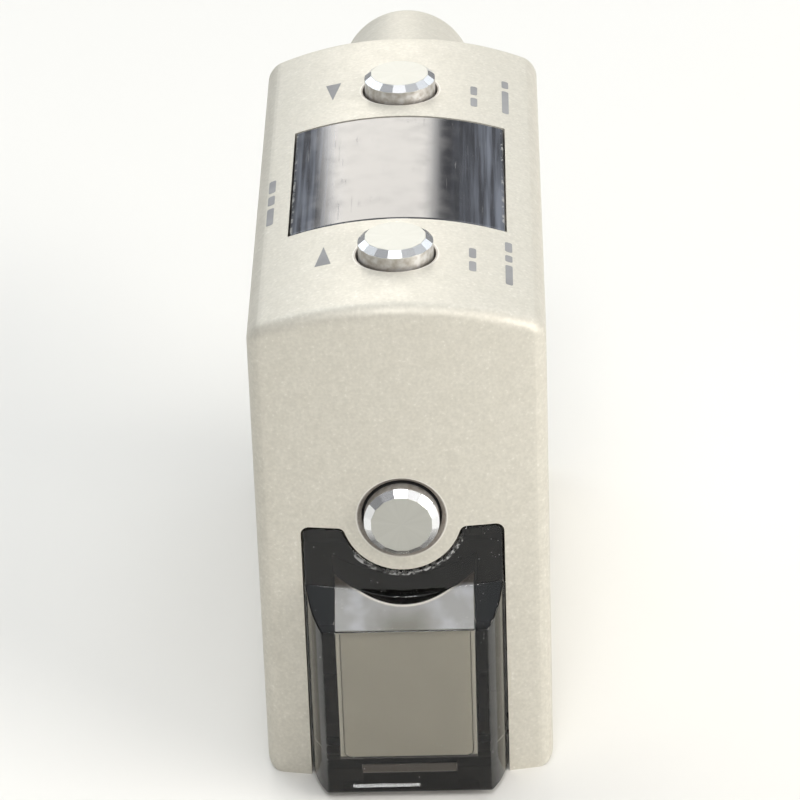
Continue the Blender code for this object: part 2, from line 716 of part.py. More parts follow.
def nose_room(name, gap):
    """The space inside the nose, with a key slot below it, or what fills it but for a gap all round."""
    half = FRAME_WIDTH / 2 + SEAT_GAP - gap
    front = NOSE_FRONT + COVER_WALL + gap
    rear = LIP_REAR + SEAT_GAP - 2 * gap
    low = FRAME_LIFT - SEAT_GAP + gap
    room = place(name, box(name, (-half, front, low), (half, rear, BODY_HEIGHT / 2)))
    combine(room, facet_prism(f"{name}_facet", COVER_WALL + gap))
    combine(room, scoop_rod(f"{name}_scoop", COVER_WALL + gap), "DIFFERENCE", (0, 0, SET_HEIGHT))
    key_half = KEY_WIDTH / 2 - gap
    bridge_front = LIP_REAR + SEAT_GAP - KEY_BRIDGE + gap
    bridge_low = (-key_half, bridge_front, KEY_LOW + gap)
    combine(room, box(f"{name}_bridge", bridge_low, (key_half, rear - 2 * WELD, low + OVERLAP)), "UNION")
    key_low = (-key_half + 2 * WELD, front, KEY_LOW + gap + 2 * WELD)
    key_high = (key_half - 2 * WELD, bridge_front + OVERLAP, KEY_HIGH - gap)
    combine(room, box(f"{name}_key", key_low, key_high), "UNION")
    return merged(room, name)


def bulged(start, stop, height, steps):
    """Points along a flat bulge to the right of the way from start to stop, both ends among them."""
    across, along = stop[0] - start[0], stop[1] - start[1]
    length = math.hypot(across, along)
    points = []
    for index in range(steps + 1):
        share = index / steps
        rise = 4 * height * share * (1 - share) / length
        points.append((start[0] + share * across + rise * along, start[1] + share * along - rise * across))
    return points


def nose_outline():
    """The nose seen from above: a flat front face, bulged sides that widen to the slot and a straight root."""
    base = NOSE_BASE / 2
    shoulder = FRONT - crown(base, FRONT_CROWN)
    side = bulged((NOSE_WIDTH / 2, NOSE_FRONT), (base, shoulder), NOSE_BULGE, 6)
    half = [*side, (base, LIP_FRONT - OVERLAP)]
    return [(-across, along) for across, along in reversed(half)] + half


def build_cover(smoke, rubber):
    """The smoked cover: a flush web in the slot, a lip behind the wall and a scooped, sloping nose."""
    below = NOSE_LIFT - OVERLAP
    web_front = FRONT_APEX - BEYOND
    web = upright_prism("web", slot_outline(-SLOT_GAP, below), web_front, LIP_REAR - COVER_LIP / 2)
    cover = place("lens_cover", web, smoke)
    combine(cover, crowned_blank("flush_form"), "INTERSECT")
    lip = upright_prism("cover_lip", slot_outline(LIP_WIDTH, below - SEAT_GAP), LIP_FRONT, LIP_REAR)
    combine(cover, lip, "UNION")

    top = SLOT_HEIGHT - HORN_CORNER - BEYOND
    nose = place("nose_blank", prism("nose_blank", nose_outline(), below - 2 * SEAT_GAP, top))
    combine(nose, facet_prism("facet", 0))
    combine(nose, scoop_rod("scoop", 0), "DIFFERENCE", (0, 0, SET_HEIGHT))
    combine(cover, merged(nose, "nose"), "UNION")
    combine(cover, nose_room("nose_pocket", 0))
    foot = box("cover_foot", (-HALF, NOSE_FRONT - BEYOND, -BEYOND), (HALF, LIP_REAR + BEYOND, NOSE_LIFT))
    combine(cover, foot)
    settle(cover, 28)

    seal_form = slot_outline(LIP_WIDTH, NOSE_LIFT)
    seal = upright_prism("lens_seal", seal_form, INNER_FRONT + SEAT_GAP, LIP_FRONT - SEAT_GAP)
    seal = place("lens_seal", seal, rubber)
    combine(seal, upright_prism("seal_gap", slot_outline(0, -BEYOND), INNER_FRONT - BEYOND, LIP_REAR))
    settle(seal)


def build_window_block(cream, filter_grey):
    """The light frame inside the nose and the filter panel set in its front."""
    front = NOSE_FRONT + COVER_WALL + SEAT_GAP
    half = PANEL_WIDTH / 2
    frame = place("window_frame", nose_room("window_frame", SEAT_GAP), cream)
    low = (-half - SEAT_GAP, PANEL_LOW - SEAT_GAP)
    high = (half + SEAT_GAP, FACET_LOW)
    recess = rounded_rectangle(low, high, PANEL_CORNER + SEAT_GAP, 0)
    combine(frame, upright_prism("panel_recess", recess, front - BEYOND, front + PANEL_THICKNESS + SEAT_GAP))
    low = (-half + PANEL_RIM, PANEL_LOW + PANEL_RIM)
    high = (half - PANEL_RIM, PANEL_HIGH - PANEL_RIM)
    shaft = rounded_rectangle(low, high, PANEL_RIM, PANEL_RIM)
    combine(frame, upright_prism("light_shaft", shaft, front - BEYOND, LIP_REAR + BEYOND))
    settle(frame)

    outline = rounded_rectangle((-half, PANEL_LOW), (half, FACET_LOW), PANEL_CORNER, 0)
    panel = upright_prism("filter_panel", outline, front, front + PANEL_THICKNESS)
    panel = place("filter_panel", panel, filter_grey)
    combine(panel, facet_prism("panel_head", COVER_WALL + SEAT_GAP))
    settle(panel)


def lens_mesh(name, diameter, thickness, bulge):
    """A plano-convex lens about local Z, its round face up."""
    radius = diameter / 2
    sphere = (radius**2 + bulge**2) / (2 * bulge)
    half_angle = math.degrees(math.asin(radius / sphere))
    face = arc((0, thickness - sphere), sphere, 90, 90 - half_angle, 4)
    return turned(name, [*face, (radius, 0), (0, 0)], 28)


def holder_body():
    """The holder's solid: a block over the posts, a keel between them, two feet and two pairs of jaws."""
    low = (-HOLDER_HALF, HOLDER_FRONT, POST_HEIGHT + SEAT_GAP)
    holder = place("holder_blank", box("holder_blank", low, (HOLDER_HALF, HOLDER_REAR, HOLDER_TOP)))
    keel_low = (-KEEL_HALF, HOLDER_FRONT + SEAT_GAP, HOLDER_LOW)
    keel_high = (KEEL_HALF, HOLDER_REAR - SEAT_GAP / 2, POST_HEIGHT + OVERLAP)
    combine(holder, box("holder_keel", keel_low, keel_high), "UNION")
    foot_low = (HOLDER_HALF / 2, HOLDER_REAR - OVERLAP, HOLDER_TOP - SEAT_GAP - FOOT_HEIGHT)
    foot_high = (HOLDER_HALF - SEAT_GAP, MAIN_BOARD_FRONT - SEAT_GAP, HOLDER_TOP - SEAT_GAP)
    combine(holder, mirrored_box("holder_feet", foot_low, foot_high), "UNION")
    slot_front = SWITCH_BOARD_FRONT - SEAT_GAP
    slot_rear = SWITCH_BOARD_FRONT + BOARD + SEAT_GAP
    jaw_low = (SWITCH_BOARD_HALF / 2, slot_front - JAW_THICKNESS / 2, HOLDER_TOP - OVERLAP)
    jaw_high = (SWITCH_BOARD_HALF - SEAT_GAP, slot_rear + JAW_THICKNESS, HOLDER_TOP + JAW_HEIGHT)
    combine(holder, mirrored_box("board_jaws", jaw_low, jaw_high), "UNION")
    slot_low = (-HALF, slot_front, HOLDER_TOP + SEAT_GAP)
    combine(holder, box("jaw_slot", slot_low, (HALF, slot_rear, HOLDER_TOP + 2 * JAW_HEIGHT)))
    return merged(holder, "optics_holder")


def diode_bore_profile():
    """The laser diode's stepped seat, about an axis that points to the front."""
    beam = EMITTER_LENS / 2 - OVERLAP
    can = DIODE_CAN / 2 + SEAT_GAP
    flange = DIODE_FLANGE / 2 + SEAT_GAP
    can_front = DIODE_DEPTH - HOLDER_REAR
    flange_front = DIODE_FLANGE_DEPTH - HOLDER_REAR
    rear = -HOLDER_REAR - BEYOND
    steps = [(0, -HOLDER_FRONT), (beam, -HOLDER_FRONT), (beam, can_front), (can, can_front)]
    return steps + [(can, flange_front), (flange, flange_front), (flange, rear), (0, rear)]


def build_optics(black, glass, steel):
    """The holder behind the cover, its two lenses and the laser diode."""
    holder = place("optics_holder", holder_body(), black)
    for name, (height, diameter, thickness, bulge) in LENSES.items():
        seat = rod(f"{name}_seat", diameter / 2 + RUN_GAP, -HOLDER_FRONT - thickness, BEYOND - HOLDER_FRONT)
        combine(holder, seat, "DIFFERENCE", (0, 0, height), FACING_FRONT)
        mesh = lens_mesh(name, diameter, thickness - 2 * RUN_GAP, bulge)
        settle(place(name, mesh, glass, (0, HOLDER_FRONT + thickness - RUN_GAP, height), FACING_FRONT))
    narrow = RECEIVER_CHIP[0] / 2
    light = rod("receiver_light", narrow, -HOLDER_REAR - BEYOND, -HOLDER_FRONT, RECEIVER_LENS / 2 - OVERLAP)
    combine(holder, light, "DIFFERENCE", (0, 0, RECEIVER_HEIGHT), FACING_FRONT)
    at_diode = (0, 0, EMITTER_HEIGHT)
    combine(holder, turned("diode_bore", diode_bore_profile(), 28), "DIFFERENCE", at_diode, FACING_FRONT)
    settle(holder)

    can = DIODE_CAN / 2
    flange = DIODE_FLANGE / 2
    flange_front = DIODE_FLANGE_DEPTH - 2 * SEAT_GAP
    nose = DIODE_DEPTH - 2 * SEAT_GAP
    profile = [(0, nose), (can - SWITCH_EDGE, nose), (can, nose - SWITCH_EDGE), (can, flange_front)]
    profile += [(flange, flange_front), (flange, 0), (0, 0)]
    diode_rear = HOLDER_REAR - SEAT_GAP
    location = (0, diode_rear, EMITTER_HEIGHT)
    diode = place("laser_diode", turned("laser_diode", profile, 24), steel, location, FACING_FRONT)
    reach = MAIN_BOARD_FRONT - SEAT_GAP - diode_rear
    for index in range(3):
        angle = math.radians(90 + 120 * index)
        spot = Matrix.Translation((LEAD_CIRCLE * math.cos(angle), LEAD_CIRCLE * math.sin(angle), 0))
        lead = rod(f"diode_lead_{index}", LEAD_RADIUS, -reach, SEAT_GAP, segments=8, matrix=spot)
        combine(diode, lead, "UNION", location, FACING_FRONT)
    settle(diode)


def button_profile(proud, thickness):
    """A cap with a ring groove, a stem and a clip groove, about local Z, with 0 at the crown's apex."""
    cap = CAP_DIAMETER / 2
    stem = STEM_DIAMETER / 2
    ring_reach = RING_SECTION / 2 + RUN_GAP
    ring_top = ring_middle(proud, thickness) + ring_reach
    ring_base = ring_top - 2 * ring_reach
    clip_top = RUN_GAP - thickness - SEAT_GAP
    clip_base = clip_top - CLIP_THICKNESS - 2 * RUN_GAP
    end = -thickness - STEM_REACH
    return [
        (0, proud),
        (cap, proud),
        (cap, ring_top),
        (cap - SEAL_GROOVE, ring_top),
        (cap - SEAL_GROOVE, ring_base),
        (cap, ring_base),
        (cap, cap_base(thickness)),
        (stem, cap_base(thickness)),
        (stem, clip_top),
        (stem - CLIP_GRIP, clip_top),
        (stem - CLIP_GRIP, clip_base),
        (stem, clip_base),
        (stem, end + SCREW_RIM),
        (stem - SCREW_RIM, end),
        (0, end),
    ]


def cap_base(thickness):
    """How far the cap reaches into its bore, which leaves room below it for the travel."""
    return BORE_FLOOR - thickness + TRAVEL + SEAT_GAP


def ring_middle(proud, thickness):
    return (cap_base(thickness) + min(0.0, proud - CHAMFER_DROP)) / 2 - SEAT_GAP


def build_button(name, cap_metal, rubber, steel):
    """A turned cap with flat-cut facets, the ring in its groove and the clip on its stem."""
    location, rotation = BUTTON_PLACES[name]
    proud, _, thickness = BUTTON_FORMS[name]
    blank = turned(f"{name}_button", button_profile(proud, thickness), CAP_STEPS)
    button = place(f"{name}_button", blank, cap_metal, location, rotation)
    flat = CAP_FLAT / 2
    slope = (CAP_DIAMETER / 2 - flat) / CHAMFER_DROP
    height = proud + thickness + STEM_REACH + BEYOND
    turn = Matrix.Rotation(math.pi / CAP_FACETS, 4, "Z")
    facets = rod(f"{name}_facets", flat + slope * height, proud - height, proud, flat, CAP_FACETS, turn)
    combine(button, facets, "INTERSECT", location, rotation)
    settle(button, 20)

    ring_radius = CAP_DIAMETER / 2 - SEAL_GROOVE + RING_SECTION / 2 + RUN_GAP
    circle = arc((ring_radius, ring_middle(proud, thickness)), RING_SECTION / 2, 90, -270, 8)
    settle(place(f"{name}_ring", turned(f"{name}_ring", circle, RING_STEPS), rubber, location, rotation), 60)

    top = -thickness - SEAT_GAP
    base = top - CLIP_THICKNESS
    clip = rod(f"{name}_clip", CLIP_DIAMETER / 2, base, top, segments=24)
    clip = place(f"{name}_clip", clip, steel, location, rotation)
    eye_radius = STEM_DIAMETER / 2 - CLIP_GRIP + RUN_GAP
    eye = rod(f"{name}_clip_eye", eye_radius, base - BEYOND, top + BEYOND, segments=24)
    combine(clip, eye, "DIFFERENCE", location, rotation)
    mouth = eye_radius * CLIP_MOUTH
    gap = box(f"{name}_clip_mouth", (-mouth, 0, base - BEYOND), (mouth, CLIP_DIAMETER, top + BEYOND))
    combine(clip, gap, "DIFFERENCE", location, rotation)
    settle(clip)


def build_switch(name, black):
    """A push switch whose plunger waits under a button's stem."""
    location, rotation = BUTTON_PLACES[name]
    thickness = BUTTON_FORMS[name][2]
    top = -thickness - SWITCH_REACH
    face = top - PLUNGER_HEIGHT
    half = SWITCH_SIZE / 2
    body = box(f"{name}_switch", (-half, -half, face - SWITCH_HEIGHT), (half, half, face))
    switch = place(f"{name}_switch", body, black, location, rotation)
    bevel = switch.modifiers.new("Edges", "BEVEL")
    bevel.width = SWITCH_EDGE
    bevel.segments = 1
    plunger = rod(f"{name}_plunger", PLUNGER_DIAMETER / 2, face - OVERLAP, top, segments=20)
    combine(switch, plunger, "UNION", location, rotation)
    settle(switch)


def build_display(smoke, rubber, black):
    """The crowned window in its pocket, the seal under it and the display module below."""
    half = DISPLAY_WIDTH / 2 - SEAT_GAP
    front = DISPLAY_FRONT + SEAT_GAP
    rear = DISPLAY_REAR - SEAT_GAP
    ledge = BODY_HEIGHT - DISPLAY_LEDGE
    seal_low = ledge + SEAT_GAP
    seal_high = seal_low + DISPLAY_SEAL
    window = box("display_window", (-half, front, seal_high + SEAT_GAP), (half, rear, TOP_APEX + BEYOND))
    window = place("display_window", window, smoke)
    combine(window, crowned_blank("window_form"), "INTERSECT")
    settle(window, 20)

    seal = box("window_seal", (-half, front, seal_low), (half, rear, seal_high))
    seal = place("window_seal", seal, rubber)
    inset = DISPLAY_LEDGE - SEAT_GAP
    light_low = (-half + inset, front + inset, ledge)
    combine(seal, box("seal_light", light_low, (half - inset, rear - inset, TOP_APEX)))
    settle(seal)

    room = inset + 2 * SEAT_GAP
    module_low = (-half + room, front + room, DISPLAY_BOARD_TOP + SEAT_GAP)
    module = box("display_module", module_low, (half - room, rear - room, ledge - SEAT_GAP))
    module = place("display_module", module, black)
    bevel = module.modifiers.new("Edges", "BEVEL")
    bevel.width = MODULE_EDGE
    bevel.segments = 2
    settle(module)


def build_display_board(board_green, steel):
    """The board under the roof, with the two screws that hold it up to the studs."""
    front = UP_AXIS - SWITCH_SIZE / 2 - 2 * SEAT_GAP
    low = (-INNER_HALF + SEAT_GAP, front, DISPLAY_BOARD_BASE)
    high = (INNER_HALF - SEAT_GAP, BAR_FRONT - SEAT_GAP, DISPLAY_BOARD_TOP)
    board = place("display_board", box("display_board", low, high), board_green)
    hole_low = DISPLAY_BOARD_BASE - BEYOND
    hole_high = DISPLAY_BOARD_TOP + BEYOND
    for index, (across, along) in enumerate(STUD_PLACES):
        hole = rod(f"board_hole_{index}", BOARD_SCREW / 2 + SEAT_GAP, hole_low, hole_high, segments=16)
        combine(board, hole, "DIFFERENCE", (across, along, 0))
    settle(board)

    length = BOARD_SCREW_LENGTH + BOARD_SCREW_HEAD_HEIGHT
    screw = screw_mesh("board_screw", BOARD_SCREW, BOARD_SCREW_HEAD, BOARD_SCREW_HEAD_HEIGHT, length, False)
    seat = DISPLAY_BOARD_BASE - SEAT_GAP - BOARD_SCREW_HEAD_HEIGHT
    for index, (across, along) in enumerate(STUD_PLACES):
        settle(place(f"board_screw_{index + 1}", screw.copy(), steel, (across, along, seat)))


def build_upright_boards(board_green):
    """The main board between its ribs and the set button's board in the holder's jaws."""
    top = DISPLAY_BOARD_BASE - SEAT_GAP
    half = INNER_HALF - SEAT_GAP
    main_low = (-half, MAIN_BOARD_FRONT, PLATE_TOP + SEAT_GAP)
    main_board = box("main_board", main_low, (half, MAIN_BOARD_REAR, top))
    settle(place("main_board", main_board, board_green))
    low = (-SWITCH_BOARD_HALF, SWITCH_BOARD_FRONT, HOLDER_TOP + 2 * SEAT_GAP)
    high = (SWITCH_BOARD_HALF, SWITCH_BOARD_FRONT + BOARD, top)
    settle(place("switch_board", box("switch_board", low, high), board_green))


def build_on_main_board(black, cream, amber):
    """The chips and connectors on the main board, and the strip that rises to the display board."""
    rear = MAIN_BOARD_REAR + SEAT_GAP
    size, thickness = RECEIVER_CHIP
    chip_rear = MAIN_BOARD_FRONT - SEAT_GAP
    low = (-size / 2, chip_rear - thickness, RECEIVER_HEIGHT - size / 2)
    chip = box("receiver_chip", low, (size / 2, chip_rear, RECEIVER_HEIGHT + size / 2))
    settle(place("receiver_chip", chip, black))

    size, thickness = PROCESSOR
    low = (-size / 2, rear, PROCESSOR_HEIGHT - size / 2)
    processor = box("processor", low, (size / 2, rear + thickness, PROCESSOR_HEIGHT + size / 2))
    settle(place("processor", processor, black))

    width, depth, height = CONNECTOR_SIZE
    low = Vector((-width / 2, rear, CONNECTOR_HEIGHT - height / 2))
    high = Vector((width / 2, rear + depth, CONNECTOR_HEIGHT + height / 2))
    socket = place("cable_connector", box("cable_connector", low, high), cream)
    wall = Vector((CONNECTOR_WALL, 0, CONNECTOR_WALL))
    mouth_low = low + wall + Vector((0, depth - CONNECTOR_DEPTH, 0))
    mouth_high = high - wall + Vector((0, BEYOND, 0))
    combine(socket, box("connector_mouth", mouth_low, mouth_high))
    settle(socket)

    width, depth, height = STRIP_CONNECTOR_SIZE
    low = (-width / 2, rear, STRIP_CONNECTOR_HEIGHT - height / 2)
    strip_low = STRIP_CONNECTOR_HEIGHT + height / 2
    strip_socket = box("strip_connector", low, (width / 2, rear + depth, strip_low))
    settle(place("strip_connector", strip_socket, cream))

    outline = strip_outline(rear + depth / 2, strip_low + SEAT_GAP, DISPLAY_BOARD_BASE - SEAT_GAP)
    settle(place("flexible_strip", side_prism("flexible_strip", outline, STRIP_WIDTH / 2), amber))


def strip_outline(along, low, ceiling):
    """A thin strip, in Y and Z, that rises from a connector and bends back under the board above."""
    inner = along + STRIP_THICKNESS / 2
    outer = along - STRIP_THICKNESS / 2
    under = ceiling - STRIP_THICKNESS
    centre = (inner + STRIP_BEND, under - STRIP_BEND)
    end = along + STRIP_REACH
    near = [(inner, low), *arc(centre, STRIP_BEND, 180, 90, 5), (end, under)]
    far = [(end, ceiling), *arc(centre, STRIP_BEND + STRIP_THICKNESS, 90, 180, 5), (outer, low)]
    return near + far


def build_gland(rubber):
    """The rubber bush in the end of the gland boss, with the cable's empty bore through it."""
    radius = BUSH_DIAMETER / 2
    low = SEAT_GAP - BUSH_LENGTH
    location = (0, REAR + GLAND_LENGTH, GLAND_HEIGHT)
    bush = rod("gland_bush", radius, low, -BUSH_SUNK, radius - SEAT_GAP)
    bush = place("gland_bush", bush, rubber, location, FACING_REAR)
    bore = rod("bush_bore", CABLE_BORE / 2, low - BEYOND, BEYOND, segments=28)
    combine(bush, bore, "DIFFERENCE", location, FACING_REAR)
    settle(bush)


def main():
    for obj in list(bpy.data.objects):
        bpy.data.objects.remove(obj, do_unlink=True)
    for name in (PARTS, CUTTERS):
        bpy.context.scene.collection.children.link(bpy.data.collections.new(name))

    housing_metal = make_material("housing_metal", (0.58, 0.55, 0.49), 0.42, 1.0)
    plate_metal = make_material("plate_metal", (0.50, 0.50, 0.49), 0.45, 1.0)
    cap_metal = make_material("cap_metal", (0.80, 0.79, 0.76), 0.22, 1.0)
    steel = make_material("screw_steel", (0.62, 0.61, 0.60), 0.30, 1.0)
    rubber = make_material("black_rubber", (0.02, 0.02, 0.02), 0.75)
    smoke = make_material("smoked_plastic", (0.03, 0.03, 0.035), 0.12)
    black = make_material("black_plastic", (0.025, 0.025, 0.027), 0.5)
    cream = make_material("cream_plastic", (0.62, 0.60, 0.53), 0.5)
    filter_grey = make_material("filter_grey", (0.25, 0.24, 0.19), 0.35)
    glass = make_material("lens_glass", (0.80, 0.83, 0.85), 0.06)
    board_green = make_material("board_green", (0.03, 0.16, 0.07), 0.45)
    amber = make_material("amber_strip", (0.45, 0.22, 0.04), 0.4)

    build_housing(housing_metal)
    build_base(plate_metal, rubber, steel)
    build_cover(smoke, rubber)
    build_window_block(cream, filter_grey)
    build_optics(black, glass, steel)
    build_display(smoke, rubber, black)
    build_display_board(board_green, steel)
    for name in BUTTON_PLACES:
        build_button(name, cap_metal, rubber, steel)
        build_switch(name, black)
    build_upright_boards(board_green)
    build_on_main_board(black, cream, amber)
    build_gland(rubber)


if __name__ == "__main__":
    main()
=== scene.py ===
"""Looks of a small laser photoelectric sensor: fine pieces, finishes, light and camera over its CAD model."""

import logging
import math
from dataclasses import dataclass
from enum import Enum
from typing import Callable, Iterable, Sequence

import bpy
from mathutils import Matrix, Vector

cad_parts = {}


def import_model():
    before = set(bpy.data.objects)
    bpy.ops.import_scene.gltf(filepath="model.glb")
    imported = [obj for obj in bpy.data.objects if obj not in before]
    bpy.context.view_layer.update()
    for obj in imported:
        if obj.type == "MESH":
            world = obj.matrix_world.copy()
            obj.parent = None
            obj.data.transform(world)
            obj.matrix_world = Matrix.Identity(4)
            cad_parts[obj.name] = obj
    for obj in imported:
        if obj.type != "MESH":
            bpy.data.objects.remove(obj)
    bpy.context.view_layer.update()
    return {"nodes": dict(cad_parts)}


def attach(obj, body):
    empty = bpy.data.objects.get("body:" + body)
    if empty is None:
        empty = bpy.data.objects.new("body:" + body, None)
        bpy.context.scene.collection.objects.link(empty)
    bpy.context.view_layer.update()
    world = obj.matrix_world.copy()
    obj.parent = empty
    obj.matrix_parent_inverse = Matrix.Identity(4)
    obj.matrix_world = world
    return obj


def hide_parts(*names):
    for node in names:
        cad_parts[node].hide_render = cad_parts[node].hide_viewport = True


LOG = logging.getLogger("laser_sensor")

MM = 0.001
WELD = 0.002 * MM
BEYOND = 1.0 * MM
OVERLAP = 0.3 * MM

Flat = tuple[float, float]
Span = tuple[float, float]
Point = tuple[float, float, float]
Colour = tuple[float, float, float]


class Facing(Enum):
    """The way that a turned or drawn piece looks, as its rotation from local Z."""

    UP = (0.0, 0.0, 0.0)
    FRONT = (math.pi / 2, 0.0, 0.0)
    REAR = (-math.pi / 2, 0.0, 0.0)
    ACROSS = (0.0, math.pi / 2, 0.0)


class Join(Enum):
    """How one solid is combined with another."""

    CUT = "DIFFERENCE"
    ADD = "UNION"
    KEEP = "INTERSECT"


# Modelling steps


def activate(piece: bpy.types.Object) -> None:
    """Leaves a piece as the only selected and active object, in object mode.

    Args:
        piece: The object to work on.
    """
    if bpy.context.mode != "OBJECT":
        bpy.ops.object.mode_set(mode="OBJECT")
    bpy.ops.object.select_all(action="DESELECT")
    piece.select_set(True)
    bpy.context.view_layer.objects.active = piece


def edit_all(piece: bpy.types.Object) -> None:
    """Enters edit mode with the whole of a piece selected.

    Args:
        piece: The object to work on.
    """
    activate(piece)
    bpy.ops.object.mode_set(mode="EDIT")
    bpy.ops.mesh.select_all(action="SELECT")


def settle(piece: bpy.types.Object) -> bpy.types.Object:
    """Puts a piece's place into its mesh, so that its object stands at the origin.

    Args:
        piece: The object to settle.

    Returns:
        The same object.
    """
    activate(piece)
    bpy.ops.object.transform_apply(location=True, rotation=True, scale=True)
    return piece


def block(name: str, low: Point, high: Point) -> bpy.types.Object:
    """A plain block to shape or to cut with.

    Args:
        name: The object's name.
        low: Its lowest corner.
        high: Its highest corner.

    Returns:
        The block, with its place in its mesh.
    """
    centre = [(a + b) / 2 for a, b in zip(low, high)]
    size = [b - a for a, b in zip(low, high)]
    bpy.ops.mesh.primitive_cube_add(size=1, location=centre, scale=size)
    made = bpy.context.object
    made.name = name
    return settle(made)


def outline_solid(name: str, outline: Sequence[Flat], low: float, high: float) -> bpy.types.Object:
    """A flat outline in local X and Y, filled and extruded from low to high along local Z.

    Args:
        name: The object's name.
        outline: The outline's points, in order.
        low: Where the solid starts.
        high: Where it ends.

    Returns:
        The closed solid, at the origin.
    """
    curve = bpy.data.curves.new(name, "CURVE")
    curve.dimensions = "2D"
    curve.fill_mode = "BOTH"
    spline = curve.splines.new("POLY")
    spline.points.add(len(outline) - 1)
    for point, (across, along) in zip(spline.points, outline):
        point.co = (across, along, 0, 1)
    spline.use_cyclic_u = True
    made = bpy.data.objects.new(name, curve)
    bpy.context.scene.collection.objects.link(made)
    activate(made)
    bpy.ops.object.convert(target="MESH")
    made = bpy.context.object
    edit_all(made)
    bpy.ops.mesh.remove_doubles(threshold=WELD)
    bpy.ops.mesh.dissolve_limited(angle_limit=math.radians(1))
    bpy.ops.transform.translate(value=(0, 0, low))
    bpy.ops.mesh.extrude_region_move(TRANSFORM_OT_translate={"value": (0, 0, high - low)})
    bpy.ops.mesh.select_all(action="SELECT")
    bpy.ops.mesh.normals_make_consistent(inside=False)
    bpy.ops.object.mode_set(mode="OBJECT")
    return made


def turned(name: str, profile: Sequence[Flat], steps: int) -> bpy.types.Object:
    """A solid of revolution about local Z, spun by hand from its profile.

    Args:
        name: The object's name.
        profile: Points of radius and height, from the axis at the top to the axis at the bottom, or closed.
        steps: The number of steps round.

    Returns:
        The closed solid, at the origin.
    """
    mesh = bpy.data.meshes.new(name)
    made = bpy.data.objects.new(name, mesh)
    bpy.context.scene.collection.objects.link(made)
    closed = profile[0][0] > 0
    count = len(profile)
    edges = [(i, i + 1) for i in range(count - 1)] + ([(count - 1, 0)] if closed else [])
    mesh.from_pydata([(radius, 0, height) for radius, height in profile], edges, [])
    edit_all(made)
    bpy.ops.mesh.spin(steps=steps, angle=math.tau, center=(0, 0, 0), axis=(0, 0, 1), dupli=False)
    bpy.ops.mesh.select_all(action="SELECT")
    bpy.ops.mesh.remove_doubles(threshold=WELD)
    bpy.ops.mesh.normals_make_consistent(inside=False)
    bpy.ops.object.mode_set(mode="OBJECT")
    return made


def posed(piece: bpy.types.Object, location: Point, facing: Facing = Facing.UP) -> bpy.types.Object:
    """Moves and turns a piece, and puts the change into its mesh.

    Args:
        piece: The object to move.
        location: Where its origin goes.
        facing: The way that its local Z looks.

    Returns:
        The same object.
    """
    piece.location = location
    piece.rotation_euler = facing.value
    return settle(piece)


def upright_solid(name: str, outline: Sequence[Flat], front: float, rear: float) -> bpy.types.Object:
    """A solid along Y, from an outline in X and Z.

    Args:
        name: The object's name.
        outline: The outline's points.
        front: Its front end.
        rear: Its rear end.

    Returns:
        The closed solid.
    """
    return posed(outline_solid(name, outline, -rear, -front), (0, 0, 0), Facing.FRONT)


def combine(piece: bpy.types.Object, other: bpy.types.Object, how: Join = Join.CUT) -> bpy.types.Object:
    """Combines a piece with another solid, which is used up.

    Args:
        piece: The solid that is changed.
        other: The solid that it is combined with.
        how: Whether the other is cut away, added, or kept in common.

    Returns:
        The changed piece.
    """
    activate(piece)
    step = piece.modifiers.new("Combine", "BOOLEAN")
    step.operation = how.value
    step.solver = "EXACT"
    step.object = other
    bpy.ops.object.modifier_apply(modifier=step.name)
    bpy.data.objects.remove(other)
    return piece


def mark_edges(piece: bpy.types.Object, test: Callable[[Vector, Vector], bool]) -> None:
    """Enters edit mode with just the edges selected that pass a test on their two ends.

    Args:
        piece: The object to work on.
        test: Takes both ends of an edge and says whether it is wanted.
    """
    activate(piece)
    bpy.ops.object.mode_set(mode="EDIT")
    bpy.ops.mesh.select_mode(type="EDGE")
    bpy.ops.mesh.select_all(action="DESELECT")
    bpy.ops.object.mode_set(mode="OBJECT")
    points = piece.data.vertices
    for edge in piece.data.edges:
        edge.select = test(points[edge.vertices[0]].co, points[edge.vertices[1]].co)
    bpy.ops.object.mode_set(mode="EDIT")


def merge_points(piece: bpy.types.Object, distance: float) -> None:
    """Joins the points that lie closer than a distance, and the flat faces that share an edge.

    Args:
        piece: The object to clean.
        distance: The distance.
    """
    edit_all(piece)
    bpy.ops.mesh.remove_doubles(threshold=distance)
    bpy.ops.mesh.dissolve_limited(angle_limit=math.radians(0.5))
    bpy.ops.object.mode_set(mode="OBJECT")


def round_edges(piece: bpy.types.Object, radius: float, steps: int, angle: float = 30, clamp: bool = True) -> None:
    """Rounds every sharp edge of a finished form with a bevel modifier, and applies it.

    Args:
        piece: The object to round.
        radius: The size of the round.
        steps: Its number of segments.
        angle: The least angle, in degrees, that counts as sharp.
        clamp: Whether the shortest edge limits the round.
    """
    activate(piece)
    step = piece.modifiers.new("Edges", "BEVEL")
    step.width = radius
    step.segments = steps
    step.limit_method = "ANGLE"
    step.angle_limit = math.radians(angle)
    step.miter_outer = "MITER_ARC"
    step.use_clamp_overlap = clamp
    step.harden_normals = False
    bpy.ops.object.modifier_apply(modifier=step.name)


def smooth(piece: bpy.types.Object, angle: float = 30) -> None:
    """Shades a piece smooth, but for its sharp edges.

    Args:
        piece: The object to shade.
        angle: The least angle, in degrees, that stays sharp.
    """
    activate(piece)
    bpy.ops.object.shade_smooth_by_angle(angle=math.radians(angle))
    step = piece.modifiers.new("Normals", "WEIGHTED_NORMAL")
    step.keep_sharp = True
    step.weight = 90
    bpy.ops.object.modifier_apply(modifier=step.name)


